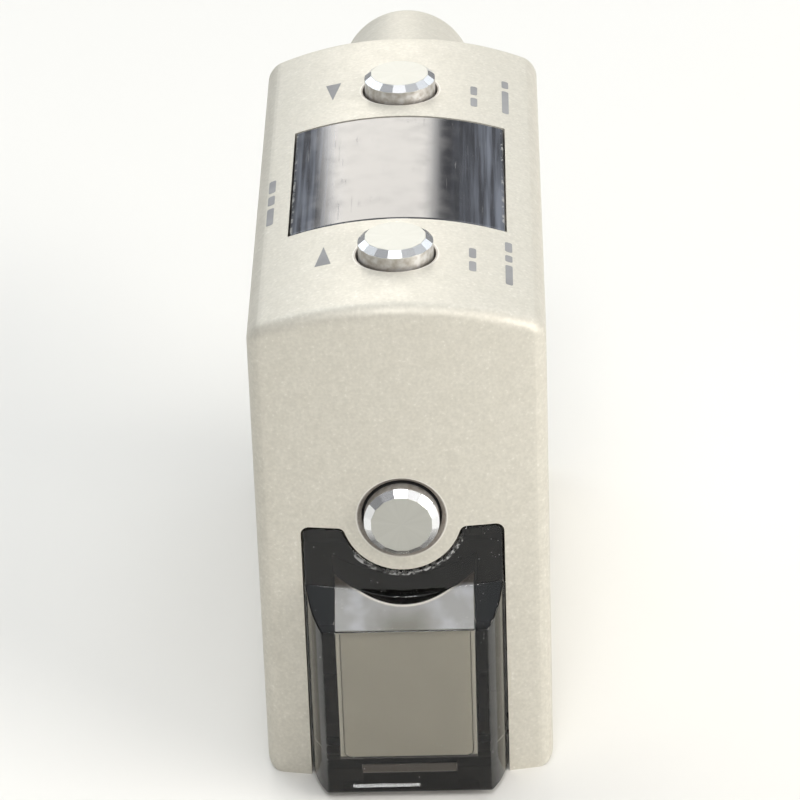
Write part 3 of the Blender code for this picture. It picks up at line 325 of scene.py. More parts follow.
def arc(centre: Flat, radius: float, start: float, stop: float, steps: int) -> list[Flat]:
    """Points along an arc, both ends among them.

    Args:
        centre: The arc's centre.
        radius: Its radius.
        start: Its first angle in degrees.
        stop: Its last angle in degrees.
        steps: The number of steps between them.

    Returns:
        The points.
    """
    angles = [math.radians(start + (stop - start) * i / steps) for i in range(steps + 1)]
    return [(centre[0] + radius * math.cos(a), centre[1] + radius * math.sin(a)) for a in angles]


def rounded_rectangle(low: Flat, high: Flat, bottom: float, top: float, steps: int = 8) -> list[Flat]:
    """The outline of a rectangle with rounded corners.

    Args:
        low: Its lowest corner.
        high: Its highest corner.
        bottom: The radius of the bottom corners.
        top: The radius of the top corners.
        steps: The number of steps in each corner.

    Returns:
        The outline's points.
    """
    points: list[Flat] = []
    corners = (
        ((high[0] - top, high[1] - top), top, 0),
        ((low[0] + top, high[1] - top), top, 90),
        ((low[0] + bottom, low[1] + bottom), bottom, 180),
        ((high[0] - bottom, low[1] + bottom), bottom, 270),
    )
    for centre, radius, start in corners:
        points += arc(centre, radius, start, start + 90, steps) if radius else [centre]
    return points


# Shared form


@dataclass(frozen=True)
class Form:
    """The outer form that the housing, the lens cover and the display window share, in metres."""

    half: float = 8.6 * MM
    front: float = -18.1 * MM
    rear: float = 18.1 * MM
    height: float = 30.1 * MM
    top_crown: float = 1.9 * MM
    front_crown: float = 1.0 * MM
    edge_round: float = 0.85 * MM
    rear_round: float = 0.85 * MM
    slot_half: float = 5.96 * MM
    slot_top: float = 17.4 * MM
    slot_corner: float = 0.55 * MM
    horn: float = 0.45 * MM
    tongue: float = 3.52 * MM
    set_height: float = 18.15 * MM
    column: float = 0.3 * MM

    @property
    def top(self) -> float:
        """The height of the crowned top's middle."""
        return self.height + self.top_crown

    @property
    def apex(self) -> float:
        """The place of the crowned front's middle."""
        return self.front - self.front_crown

    def crown(self, offset: float, rise: float) -> float:
        """The height of a crowned face above its own side edges.

        Args:
            offset: The distance from the middle.
            rise: The crown's height at the middle.

        Returns:
            The height there.
        """
        radius = (self.half**2 + rise**2) / (2 * rise)
        return math.sqrt(radius**2 - min(abs(offset), self.half) ** 2) - (radius - rise)

    def is_soft(self, one: Vector, two: Vector) -> bool:
        """Whether an edge of the plain block has the small round, which the base and the rear corners don't.

        Args:
            one: One end of the edge.
            two: The other end.

        Returns:
            True for an edge with the small round.
        """
        middle = (one + two) / 2
        if abs(one.z - two.z) > MM:
            return middle.y < 0
        return abs(one.y - two.y) > MM or middle.z > self.height / 2

    def blank(self, name: str, steps: int = 8) -> bpy.types.Object:
        """A rounded block whose top and front are raised across the width.

        Args:
            name: The object's name.
            steps: The number of segments in each round.

        Returns:
            The closed solid.
        """
        made = block(name, (-self.half, self.front, 0), (self.half, self.rear, self.height))
        mark_edges(made, lambda one, two: abs(one.z - two.z) > MM and one.y > 0)
        bpy.ops.mesh.bevel(offset=self.rear_round, segments=steps)
        mark_edges(made, self.is_soft)
        bpy.ops.mesh.bevel(offset=self.edge_round, segments=steps)
        count = int(self.half / self.column)
        for index in range(-count, count):
            bpy.ops.mesh.select_all(action="SELECT")
            place = (index + 0.5) * self.column
            bpy.ops.mesh.bisect(plane_co=(place, 0, 0), plane_no=(1, 0, 0), threshold=WELD)
        bpy.ops.mesh.select_all(action="SELECT")
        bpy.ops.mesh.remove_doubles(threshold=WELD)
        bpy.ops.object.mode_set(mode="OBJECT")
        for point in made.data.vertices:
            if point.co.z > self.height / 2:
                point.co.z += self.crown(point.co.x, self.top_crown)
            if point.co.y < 0:
                point.co.y -= self.crown(point.co.x, self.front_crown)
        return made

    def slot_outline(self, grow: float, low: float) -> list[Flat]:
        """The U-shaped slot around the tongue that carries the front button.

        Args:
            grow: How far it is grown all round, or shrunk where negative.
            low: Its lowest height.

        Returns:
            The outline's points in X and Z.
        """
        half = self.slot_half + grow
        top = self.slot_top + grow
        corner = self.slot_corner + grow
        horn = self.horn + grow
        tongue = self.tongue - grow
        horn_z = top - horn
        horn_x = math.sqrt((tongue + horn) ** 2 - (self.set_height - horn_z) ** 2)
        meeting = math.degrees(math.atan2(horn_z - self.set_height, horn_x))
        right: list[Flat] = [(half, low)]
        right += arc((half - corner, top - corner), corner, 0, 90, 8)
        right += arc((horn_x, horn_z), horn, 90, 180 + meeting, 10)
        right += arc((0, self.set_height), tongue, meeting, -90, 24)[1:]
        left = [(-across, along) for across, along in reversed(right[:-1])]
        return right + left


FORM = Form()


# Shader groups

Nodes = bpy.types.ShaderNodeTree
Socket = bpy.types.NodeSocket
Value = Socket | float
Shade = Socket | Colour


def connect(tree: Nodes, value: Value | Shade, socket: Socket) -> None:
    """Gives an input its value: a link from a socket, or a plain number or colour.

    Args:
        tree: The node tree.
        value: The value.
        socket: The input.
    """
    if isinstance(value, tuple):
        socket.default_value = (*value, 1)
    elif isinstance(value, (int, float)):
        socket.default_value = value
    else:
        tree.links.new(value, socket)


def noise(tree: Nodes, vector: Socket, scale: Value, detail: float) -> Socket:
    """Adds a noise texture.

    Args:
        tree: The node tree.
        vector: The coordinates that it reads.
        scale: Its cells to the metre.
        detail: Its octaves.

    Returns:
        The noise, from 0 to 1.
    """
    node = tree.nodes.new("ShaderNodeTexNoise")
    connect(tree, scale, node.inputs["Scale"])
    node.inputs["Detail"].default_value = detail
    tree.links.new(vector, node.inputs["Vector"])
    return node.outputs[0]


def remap(
    tree: Nodes, value: Socket, low: float, high: float, out_low: float = 0.0, out_high: float = 1.0
) -> Socket:
    """Adds a clamped map range.

    Args:
        tree: The node tree.
        value: The value that it reads.
        low: The value that gives the first result.
        high: The value that gives the last one.
        out_low: The first result.
        out_high: The last result.

    Returns:
        The result's socket.
    """
    node = tree.nodes.new("ShaderNodeMapRange")
    tree.links.new(value, node.inputs["Value"])
    for key, number in zip(("From Min", "From Max", "To Min", "To Max"), (low, high, out_low, out_high)):
        node.inputs[key].default_value = number
    return node.outputs["Result"]


def arithmetic(tree: Nodes, operation: str, first: Value, second: Value = 0.0) -> Socket:
    """Adds one step of arithmetic.

    Args:
        tree: The node tree.
        operation: Blender's name of the step.
        first: The first value.
        second: The second value.

    Returns:
        The result's socket.
    """
    node = tree.nodes.new("ShaderNodeMath")
    node.operation = operation
    for socket, value in zip(node.inputs, (first, second)):
        connect(tree, value, socket)
    return node.outputs["Value"]


def times(tree: Nodes, first: Value, second: Value) -> Socket:
    """Multiplies two values.

    Args:
        tree: The node tree.
        first: The first value.
        second: The second value.

    Returns:
        The product's socket.
    """
    return arithmetic(tree, "MULTIPLY", first, second)


def stretched(tree: Nodes, vector: Socket, factors: Point) -> Socket:
    """Multiplies coordinates axis by axis.

    Args:
        tree: The node tree.
        vector: The coordinates.
        factors: Each axis's factor.

    Returns:
        The new coordinates.
    """
    node = tree.nodes.new("ShaderNodeVectorMath")
    node.operation = "MULTIPLY"
    node.inputs[1].default_value = factors
    tree.links.new(vector, node.inputs[0])
    return node.outputs[0]


def axes(tree: Nodes, vector: Socket) -> tuple[Socket, Socket, Socket]:
    """Takes coordinates apart.

    Args:
        tree: The node tree.
        vector: The coordinates.

    Returns:
        Their X, Y and Z.
    """
    node = tree.nodes.new("ShaderNodeSeparateXYZ")
    tree.links.new(vector, node.inputs[0])
    return node.outputs["X"], node.outputs["Y"], node.outputs["Z"]


def blend_colours(tree: Nodes, mask: Value, first: Shade, second: Shade) -> Socket:
    """Mixes two colours by a mask.

    Args:
        tree: The node tree.
        mask: The mask, 0 for the first colour and 1 for the second.
        first: The first colour.
        second: The second colour.

    Returns:
        The result's socket.
    """
    node = tree.nodes.new("ShaderNodeMix")
    node.data_type = "RGBA"
    for index, value in ((0, mask), (6, first), (7, second)):
        connect(tree, value, node.inputs[index])
    return node.outputs[2]


class EffectGroup:
    """A shader group with named inputs and outputs, built once and placed in each material."""

    def __init__(self, name: str, numbers: dict[str, float], outputs: Sequence[str]) -> None:
        """Makes the group and its sockets, of which Place takes the coordinates.

        Args:
            name: The group's name.
            numbers: The default of each number that it takes.
            outputs: The name of each number that it gives.
        """
        self.tree = bpy.data.node_groups.new(name, "ShaderNodeTree")
        sockets = self.tree.interface
        sockets.new_socket("Place", in_out="INPUT", socket_type="NodeSocketVector")
        for key, default in numbers.items():
            sockets.new_socket(key, in_out="INPUT", socket_type="NodeSocketFloat").default_value = default
        for key in outputs:
            sockets.new_socket(key, in_out="OUTPUT", socket_type="NodeSocketFloat")
        self.given = self.tree.nodes.new("NodeGroupInput").outputs
        self.result = self.tree.nodes.new("NodeGroupOutput").inputs

    def give(self, key: str, value: Socket) -> None:
        """Links a value to an output.

        Args:
            key: The output's name.
            value: The socket to link.
        """
        self.tree.links.new(value, self.result[key])


def grain_group() -> EffectGroup:
    """Fine blasted grain: broad tone, small bumps and tiny pale specks.

    Returns:
        The group.
    """
    group = EffectGroup("Blasted grain", {"Grain Size": 9000.0, "Tone Size": 260.0}, ("Tone", "Height", "Specks"))
    tree, place = group.tree, group.given["Place"]
    fine = noise(tree, place, group.given["Grain Size"], 2)
    broad = noise(tree, place, group.given["Tone Size"], 4)
    middle = noise(tree, place, 2600, 2)
    group.give("Height", arithmetic(tree, "ADD", fine, times(tree, middle, 0.6)))
    group.give("Tone", remap(tree, broad, 0.3, 0.7))
    group.give("Specks", remap(tree, fine, 0.66, 0.74))
    return group


def dust_group() -> EffectGroup:
    """Scattered dust: round grains of uneven size, thicker in some places.

    Returns:
        The group.
    """
    group = EffectGroup("Scattered dust", {"Grains": 5200.0}, ("Mask",))
    tree, place = group.tree, group.given["Place"]
    cells = tree.nodes.new("ShaderNodeTexVoronoi")
    tree.links.new(place, cells.inputs["Vector"])
    tree.links.new(group.given["Grains"], cells.inputs["Scale"])
    near = remap(tree, cells.outputs["Distance"], 0.10, 0.24, 1.0, 0.0)
    chosen = tree.nodes.new("ShaderNodeSeparateColor")
    tree.links.new(cells.outputs["Color"], chosen.inputs[0])
    kept = remap(tree, chosen.outputs[0], 0.80, 0.92)
    clouds = remap(tree, noise(tree, place, 420, 3), 0.42, 0.62, 0.15, 1.0)
    group.give("Mask", times(tree, times(tree, near, kept), clouds))
    return group


def scratch_group() -> EffectGroup:
    """Fine straight scratches along Y, from noise that is drawn out in that direction.

    Returns:
        The group.
    """
    group = EffectGroup("Fine scratches", {}, ("Mask",))
    tree, place = group.tree, group.given["Place"]
    lines = remap(tree, noise(tree, stretched(tree, place, (9000, 260, 9000)), 1, 1), 0.66, 0.72)
    patches = remap(tree, noise(tree, place, 500, 2), 0.5, 0.62)
    group.give("Mask", times(tree, lines, patches))
    return group


def turning_group() -> EffectGroup:
    """Turned metal about local Z: rays of painted sheen that run out from the middle, rings round it, and the height
    along it.

    Returns:
        The group.
    """
    group = EffectGroup("Turned sheen", {"Rays": 3.0}, ("Rays", "Rings", "Height"))
    tree = group.tree
    across, along, height = axes(tree, group.given["Place"])
    angle = arithmetic(tree, "ARCTAN2", along, across)
    squares = [arithmetic(tree, "POWER", value, 2) for value in (across, along)]
    radius = arithmetic(tree, "SQRT", arithmetic(tree, "ADD", *squares))
    around = tree.nodes.new("ShaderNodeCombineXYZ")
    tree.links.new(arithmetic(tree, "SINE", angle), around.inputs["X"])
    tree.links.new(arithmetic(tree, "COSINE", angle), around.inputs["Y"])
    # Rays: the mask of the painted sheen's light and dark rays.
    group.give("Rays", remap(tree, noise(tree, around.outputs[0], group.given["Rays"], 2), 0.35, 0.65))
    out = tree.nodes.new("ShaderNodeCombineXYZ")
    tree.links.new(radius, out.inputs["X"])
    group.give("Rings", noise(tree, out.outputs[0], 24000, 1))
    group.give("Height", height)
    return group


class Effects:
    """The shader groups, each built once."""

    def __init__(self) -> None:
        """Builds every group."""
        self.grain = grain_group()
        self.dust = dust_group()
        self.scratches = scratch_group()
        self.turning = turning_group()


class Surface:
    """A material in the making: a Principled shader, the piece's Object coordinates and the shared effects."""

    def __init__(self, name: str, colour: Colour, roughness: float, metallic: float = 0.0) -> None:
        """Makes the material with its plain values.

        Args:
            name: The material's name.
            colour: The base colour, linear.
            roughness: The plain roughness.
            metallic: The plain metallic value.
        """
        self.material = bpy.data.materials.new(name)
        self.material.use_nodes = True
        self.tree = self.material.node_tree
        self.shader = self.tree.nodes["Principled BSDF"]
        self.set("Base Color", (*colour, 1))
        self.set("Roughness", roughness)
        self.set("Metallic", metallic)
        self.place = self.tree.nodes.new("ShaderNodeTexCoord").outputs["Object"]

    def set(self, key: str, value: float | tuple) -> None:
        """Sets a plain value on the shader's own socket.

        Args:
            key: The socket's name.
            value: Its value.
        """
        self.shader.inputs[key].default_value = value

    def drive(self, key: str, value: Socket) -> None:
        """Links a varying value to the shader.

        Args:
            key: The socket's name.
            value: The socket that drives it.
        """
        self.tree.links.new(value, self.shader.inputs[key])

    def moved(self, location: Point, facing: Facing = Facing.UP) -> Socket:
        """The Object coordinates about another centre.

        Args:
            location: The centre.
            facing: The way that local Z looks.

        Returns:
            The moved coordinates.
        """
        node = self.tree.nodes.new("ShaderNodeMapping")
        node.vector_type = "TEXTURE"
        node.inputs["Location"].default_value = location
        node.inputs["Rotation"].default_value = facing.value
        self.tree.links.new(self.place, node.inputs["Vector"])
        return node.outputs[0]

    def radius(self, place: Socket) -> Socket:
        """The distance from the local Z axis of a place.

        Args:
            place: The local coordinates.

        Returns:
            The distance.
        """
        node = self.tree.nodes.new("ShaderNodeVectorMath")
        node.operation = "LENGTH"
        self.tree.links.new(stretched(self.tree, place, (1, 1, 0)), node.inputs[0])
        return node.outputs["Value"]

    def effect(
        self, group: EffectGroup, place: Socket | None = None, **values: float
    ) -> bpy.types.bpy_prop_collection:
        """Places a shared group.

        Args:
            group: The group.
            place: The coordinates, or the plain Object coordinates.
            values: Its number inputs, with _ for each space in their names.

        Returns:
            The group's outputs.
        """
        node = self.tree.nodes.new("ShaderNodeGroup")
        node.node_tree = group.tree
        self.tree.links.new(place or self.place, node.inputs["Place"])
        for key, value in values.items():
            node.inputs[key.replace("_", " ")].default_value = value
        return node.outputs

    def bump(self, height: Socket, strength: float, distance: float) -> None:
        """Raises the surface by a varying height.

        Args:
            height: The height.
            strength: The bump's strength.
            distance: The height of 1, in metres.
        """
        node = self.tree.nodes.new("ShaderNodeBump")
        node.inputs["Strength"].default_value = strength
        node.inputs["Distance"].default_value = distance
        self.tree.links.new(height, node.inputs["Height"])
        self.drive("Normal", node.outputs[0])


@dataclass(frozen=True)
class BlastedMetal:
    """Cast metal with a blasted, satin finish."""

    name: str
    dark: Colour
    light: Colour
    roughness: float = 0.5
    metallic: float = 0.45
    speck: Colour = (0.9, 0.89, 0.86)

    def make(self, effects: Effects) -> bpy.types.Material:
        """Builds the material.

        Args:
            effects: The shared groups.

        Returns:
            The material.
        """
        surface = Surface(self.name, self.light, self.roughness, self.metallic)
        tree = surface.tree
        grain = surface.effect(effects.grain)
        tone = blend_colours(tree, grain["Tone"], self.dark, self.light)
        specks = times(tree, grain["Specks"], 0.35)
        surface.drive("Base Color", blend_colours(tree, specks, tone, self.speck))
        low, high = self.roughness - 0.05, self.roughness + 0.05
        surface.drive("Roughness", remap(tree, grain["Tone"], 0, 1, high, low))
        surface.bump(grain["Height"], 0.35, 0.006 * MM)
        return surface.material


@dataclass(frozen=True)
class Mouth:
    """The machined mouth of a button's bore, with the colour of the painted brownish shade inside it."""

    centre: Point
    facing: Facing
    radius: float
    # The colour of the painted brownish shade inside the mouth.
    tint: Colour


@dataclass(frozen=True)
class CastHousing:
    """The housing's satin, blasted casting, with painted brownish shade inside the buttons' mouths and a painted
    highlight round their rims.
    """

    name: str
    dark: Colour
    light: Colour
    mouths: tuple[Mouth, ...]
    # The pale specks' colour, also used for the painted highlight round each mouth.
    edge: Colour = (0.80, 0.78, 0.73)
    roughness: float = 0.52
    metallic: float = 0.35
    # The painted shade inside each mouth fades out between these two distances inside its rim.
    mouth_shade_start: float = 0.07 * MM
    mouth_shade_end: float = 0.02 * MM
    # The width of the painted highlight just outside each mouth's rim.
    rim_highlight_width: float = 0.06 * MM

    def make(self, effects: Effects) -> bpy.types.Material:
        """Builds the material.

        Args:
            effects: The shared groups.

        Returns:
            The material.
        """
        surface = Surface(self.name, self.light, self.roughness, self.metallic)
        tree = surface.tree
        grain = surface.effect(effects.grain, Grain_Size=5200.0, Tone_Size=900.0)
        tone = blend_colours(tree, grain["Tone"], self.dark, self.light)
        fleck = remap(tree, grain["Height"], 0.55, 1.05, 0.5, 0.0)
        tone = blend_colours(tree, fleck, tone, tuple(level * 0.8 for level in self.dark))
        tone = blend_colours(tree, times(tree, grain["Specks"], 0.4), tone, self.edge)
        for mouth in self.mouths:
            distance = surface.radius(surface.moved(mouth.centre, mouth.facing))
            start, end = mouth.radius - self.mouth_shade_start, mouth.radius - self.mouth_shade_end
            # Painted brownish shade inside the mouth, mottled by the grain.
            inside = remap(tree, distance, start, end, 1.0, 0.0)
            browned = times(tree, inside, remap(tree, grain["Height"], 0.5, 1.1, 1.0, 0.7))
            # Painted highlight: a thin pale ring just outside the mouth's rim.
            around = remap(tree, distance, mouth.radius, mouth.radius + self.rim_highlight_width, 0.7, 0.0)
            tone = blend_colours(tree, around, tone, self.edge)
            tone = blend_colours(tree, browned, tone, mouth.tint)
        surface.drive("Base Color", tone)
        low, high = self.roughness - 0.05, self.roughness + 0.05
        surface.drive("Roughness", remap(tree, grain["Tone"], 0, 1, high, low))
        surface.bump(grain["Height"], 0.45, 0.006 * MM)
        return surface.material


@dataclass(frozen=True)
class TurnedMetal:
    """A lathe-turned cap: a satin face with faint rays of painted sheen, polished facets and a mottled side."""

    name: str
    # light and dark are the colours of the painted sheen's rays on the face.
    light: Colour
    dark: Colour
    stain: Colour
    polish: Colour
    centre: Point
    facing: Facing
    face: float
    shoulder: float
    roughness: float = 0.52
    facet_roughness: float = 0.26
    side_roughness: float = 0.50
    soft: float = 0.02 * MM

    def make(self, effects: Effects) -> bpy.types.Material:
        """Builds the material.

        Args:
            effects: The shared groups.

        Returns:
            The material.
        """
        surface = Surface(self.name, self.light, self.roughness, 1.0)
        tree = surface.tree
        local = surface.moved(self.centre, self.facing)
        turning = surface.effect(effects.turning, local, Rays=4.0)
        grain = surface.effect(effects.grain, Tone_Size=2400.0)
        height = turning["Height"]
        on_side = remap(tree, height, self.shoulder - self.soft, self.shoulder, 1.0, 0.0)
        on_face = remap(tree, height, self.face - self.soft, self.face - self.soft / 2)
        # Painted sheen: light and dark rays across the face, as a turned face reflects light.
        rays = blend_colours(tree, turning["Rays"], self.dark, self.light)
        browned = times(tree, on_side, remap(tree, grain["Tone"], 0.1, 0.9, 0.25, 1.0))
        metal = blend_colours(tree, on_face, self.polish, rays)
        surface.drive("Base Color", blend_colours(tree, browned, metal, self.stain))
        satin = times(tree, on_face, self.roughness - self.facet_roughness)
        mottled = times(tree, on_side, self.side_roughness - self.facet_roughness)
        rough = arithmetic(tree, "ADD", satin, mottled)
        surface.drive("Roughness", arithmetic(tree, "ADD", rough, self.facet_roughness))
        rings = times(tree, turning["Rings"], on_face)
        coarse = times(tree, grain["Height"], on_side)
        surface.bump(arithmetic(tree, "ADD", rings, times(tree, coarse, 2.0)), 0.12, 0.003 * MM)
        return surface.material


@dataclass(frozen=True)
class SmokedPlastic:
    """Smoked, see-through plastic with a few dust grains."""

    name: str
    tint: Colour
    smoke: Colour
    density: float
    roughness: float = 0.03
    ior: float = 1.46
    dust: Colour = (0.7, 0.68, 0.64)

    def make(self, effects: Effects) -> bpy.types.Material:
        """Builds the material.

        Args:
            effects: The shared groups.

        Returns:
            The material.
        """
        surface = Surface(self.name, self.tint, self.roughness)
        tree = surface.tree
        surface.set("IOR", self.ior)
        surface.set("Transmission Weight", 1.0)
        depth = tree.nodes.new("ShaderNodeVolumeAbsorption")
        depth.inputs["Color"].default_value = (*self.smoke, 1)
        depth.inputs["Density"].default_value = self.density
        tree.links.new(depth.outputs[0], tree.nodes["Material Output"].inputs["Volume"])
        dust = surface.effect(effects.dust)
        faint = times(tree, dust["Mask"], 0.5)
        surface.drive("Base Color", blend_colours(tree, faint, self.tint, self.dust))
        surface.drive("Roughness", remap(tree, dust["Mask"], 0, 1, self.roughness, 0.5))
        return surface.material


@dataclass(frozen=True)
class DisplayGlass:
    """The dark, glossy display window: streaked, with a painted bluish reflection towards its ends, smudged, with
    dust and chipped edges.
    """

    name: str = "display_glass"
    colour: Colour = (0.014, 0.015, 0.019)
    # The colour of the streaks and of the painted bluish reflection at the window's ends.
    streak_and_reflection: Colour = (0.16, 0.175, 0.21)
    chip: Colour = (0.34, 0.34, 0.33)
    roughness: float = 0.09
    ior: float = 1.72
    streak: Point = (3400, 90, 0)
    inner: float = 3.0 * MM
    outer: float = 5.6 * MM
    edge: float = 6.28 * MM
    chip_width: float = 0.1 * MM

    def make(self, effects: Effects) -> bpy.types.Material:
        """Builds the material.

        Args:
            effects: The shared groups.

        Returns:
            The material.
        """
        surface = Surface(self.name, self.colour, self.roughness)
        tree = surface.tree
        surface.set("IOR", self.ior)
        across = arithmetic(tree, "ABSOLUTE", axes(tree, surface.place)[0])
        streaks = remap(tree, noise(tree, stretched(tree, surface.place, self.streak), 1, 3), 0.38, 0.66, 0.15, 1.0)
        # Painted bluish reflection towards the window's ends, broken up by the streaks.
        ends = remap(tree, across, self.inner, self.outer)
        streak_and_reflection_mask = times(tree, times(tree, streaks, ends), 0.92)
        tone = blend_colours(tree, streak_and_reflection_mask, self.colour, self.streak_and_reflection)
        dust = surface.effect(effects.dust, Grains=4200.0)
        lines = surface.effect(effects.scratches)
        marks = times(tree, arithmetic(tree, "MAXIMUM", dust["Mask"], lines["Mask"]), 0.12)
        tone = blend_colours(tree, marks, tone, self.chip)
        bites = remap(tree, noise(tree, surface.place, 2600, 2), 0.52, 0.60)
        chipped = times(tree, remap(tree, across, self.edge - self.chip_width, self.edge), bites)
        surface.drive("Base Color", blend_colours(tree, chipped, tone, self.chip))
        smudge = remap(tree, noise(tree, surface.place, 700, 4), 0.4, 0.7, 0.0, 0.1)
        worn = arithmetic(tree, "ADD", smudge, marks)
        surface.drive("Roughness", arithmetic(tree, "ADD", worn, self.roughness))
        surface.bump(arithmetic(tree, "SUBTRACT", times(tree, streaks, 0.5), chipped), 0.25, 0.0012 * MM)
        return surface.material


@dataclass(frozen=True)
class Moulded:
    """Plain moulded plastic, rubber or film, with faint texture."""

    name: str
    dark: Colour
    light: Colour
    roughness: float
    grain: float = 0.2

    def make(self, effects: Effects) -> bpy.types.Material:
        """Builds the material.

        Args:
            effects: The shared groups.

        Returns:
            The material.
        """
        surface = Surface(self.name, self.light, self.roughness)
        tree = surface.tree
        grain = surface.effect(effects.grain, Grain_Size=6000.0, Tone_Size=400.0)
        surface.drive("Base Color", blend_colours(tree, grain["Tone"], self.dark, self.light))
        surface.drive("Roughness", remap(tree, grain["Tone"], 0, 1, self.roughness + 0.05, self.roughness - 0.04))
        surface.bump(grain["Height"], self.grain, 0.004 * MM)
        return surface.material


@dataclass(frozen=True)
class LightGuide:
    """The light frame: milky on its slope and beside the panel, smoked below and outside, with a painted highlight
    along the scoop's rim and a painted brownish reflection behind the web.
    """

    name: str = "light_frame"
    milky: Colour = (0.53, 0.535, 0.525)
    glow: Colour = (0.69, 0.705, 0.725)
    shade: Colour = (0.31, 0.30, 0.25)
    edge: Colour = (0.86, 0.84, 0.72)
    # The colour of the painted highlight along the scoop's rim.
    rim: Colour = (0.95, 0.93, 0.86)
    smoked: Colour = (0.012, 0.010, 0.009)
    bar: Colour = (0.12, 0.10, 0.08)
    # The colour of the painted brownish reflection where the frame shows behind the web.
    reflection_brown: Colour = (0.13, 0.10, 0.075)
    half: float = 4.06 * MM
    sill: float = 2.75 * MM
    soft: float = 0.05 * MM
    bar_rise: Span = (2.2 * MM, 2.3 * MM)
    slope_rise: Span = (11.6 * MM, 11.75 * MM)
    shade_width: Span = (0.7 * MM, 2.4 * MM)
    shade_rise: Span = (12.0 * MM, 12.7 * MM)
    back_rise: Span = (13.25 * MM, 13.45 * MM)
    arc_height: float = 19.81 * MM
    painted_glint_radius: Span = (7.25 * MM, 7.28 * MM)
    arc_radius: Span = (7.195 * MM, 7.2 * MM)

    def make(self, effects: Effects) -> bpy.types.Material:
        """Builds the material.

        Args:
            effects: The shared groups.

        Returns:
            The material.
        """
        surface = Surface(self.name, self.milky, 0.4)
        tree = surface.tree
        side, _, rise = axes(tree, surface.place)
        across = arithmetic(tree, "ABSOLUTE", side)
        grain = surface.effect(effects.grain, Tone_Size=500.0)
        beside = remap(tree, across, self.half, self.half + self.soft, 1.0, 0.0)
        above = remap(tree, rise, self.sill, self.sill + self.soft)
        low = blend_colours(tree, remap(tree, rise, *self.bar_rise, 1.0, 0.0), self.smoked, self.bar)
        sides = blend_colours(tree, times(tree, beside, above), low, self.edge)
        cloud = remap(tree, noise(tree, surface.place, 620, 2), 0.42, 0.62)
        light = blend_colours(tree, cloud, self.milky, self.glow)
        middle = remap(tree, across, *self.shade_width, 1.0, 0.0)
        lower = remap(tree, rise, *self.shade_rise, 1.0, 0.35)
        light = blend_colours(tree, times(tree, middle, lower), light, self.shade)
        distance = surface.radius(surface.moved((0, 0, self.arc_height), Facing.FRONT))
        # Painted highlight: a thin cream line along the scoop's rim.
        light = blend_colours(tree, remap(tree, distance, *self.painted_glint_radius, 1.0, 0.0), light, self.rim)
        light = blend_colours(tree, remap(tree, distance, *self.arc_radius, 1.0, 0.0), light, self.smoked)
        # Painted brownish reflection on the frame where it shows behind the web.
        light = blend_colours(tree, remap(tree, rise, *self.back_rise), light, self.reflection_brown)
        surface.drive("Base Color", blend_colours(tree, remap(tree, rise, *self.slope_rise), sides, light))
        surface.drive("Roughness", remap(tree, grain["Tone"], 0, 1, 0.45, 0.35))
        surface.bump(grain["Height"], 0.2, 0.004 * MM)
        return surface.material


@dataclass(frozen=True)
class FilterPlastic:
    """The olive grey filter panel."""

    name: str = "filter_pane"
    face: Colour = (0.74, 0.72, 0.595)

    def make(self, effects: Effects) -> bpy.types.Material:
        """Builds the material.

        Args:
            effects: The shared groups.

        Returns:
            The material.
        """
        surface = Surface(self.name, self.face, 0.35)
        tree = surface.tree
        grain = surface.effect(effects.grain, Tone_Size=300.0)
        lighter = tuple(level * 1.05 for level in self.face)
        surface.drive("Base Color", blend_colours(tree, grain["Tone"], self.face, lighter))
        surface.drive("Roughness", remap(tree, grain["Tone"], 0, 1, 0.38, 0.32))
        surface.bump(grain["Height"], 0.1, 0.004 * MM)
        return surface.material


@dataclass(frozen=True)
class WornEdgeGlints:
    """Painted glints of a worn, rough edge: light specks with nothing between them."""

    name: str = "worn_edge_glints"
    colour: Colour = (0.45, 0.45, 0.44)
    size: float = 4600.0
    patches: float = 700.0

    def make(self, effects: Effects) -> bpy.types.Material:
        """Builds the material.

        Args:
            effects: The shared groups.

        Returns:
            The material.
        """
        surface = Surface(self.name, self.colour, 0.5)
        tree = surface.tree
        grain = surface.effect(effects.grain)
        surface.drive("Roughness", remap(tree, grain["Tone"], 0, 1, 0.6, 0.4))
        # Painted glints: light specks of colour where the rough edge would sparkle.
        specks = remap(tree, noise(tree, surface.place, self.size, 2), 0.49, 0.58, 0.0, 0.85)
        patches = remap(tree, noise(tree, surface.place, self.patches, 1), 0.33, 0.48, 0.15, 1.0)
        surface.drive("Alpha", times(tree, specks, patches))
        return surface.material


@dataclass(frozen=True)
class ClearLens:
    """Clear moulded lens plastic."""

    name: str = "clear_lens"

    def make(self, effects: Effects) -> bpy.types.Material:
        """Builds the material.

        Args:
            effects: The shared groups.

        Returns:
            The material.
        """
        surface = Surface(self.name, (0.95, 0.97, 0.97), 0.03)
        surface.set("Transmission Weight", 1.0)
        dust = surface.effect(effects.dust, Grains=3000.0)
        surface.drive("Roughness", remap(surface.tree, dust["Mask"], 0, 1, 0.03, 0.3))
        return surface.material


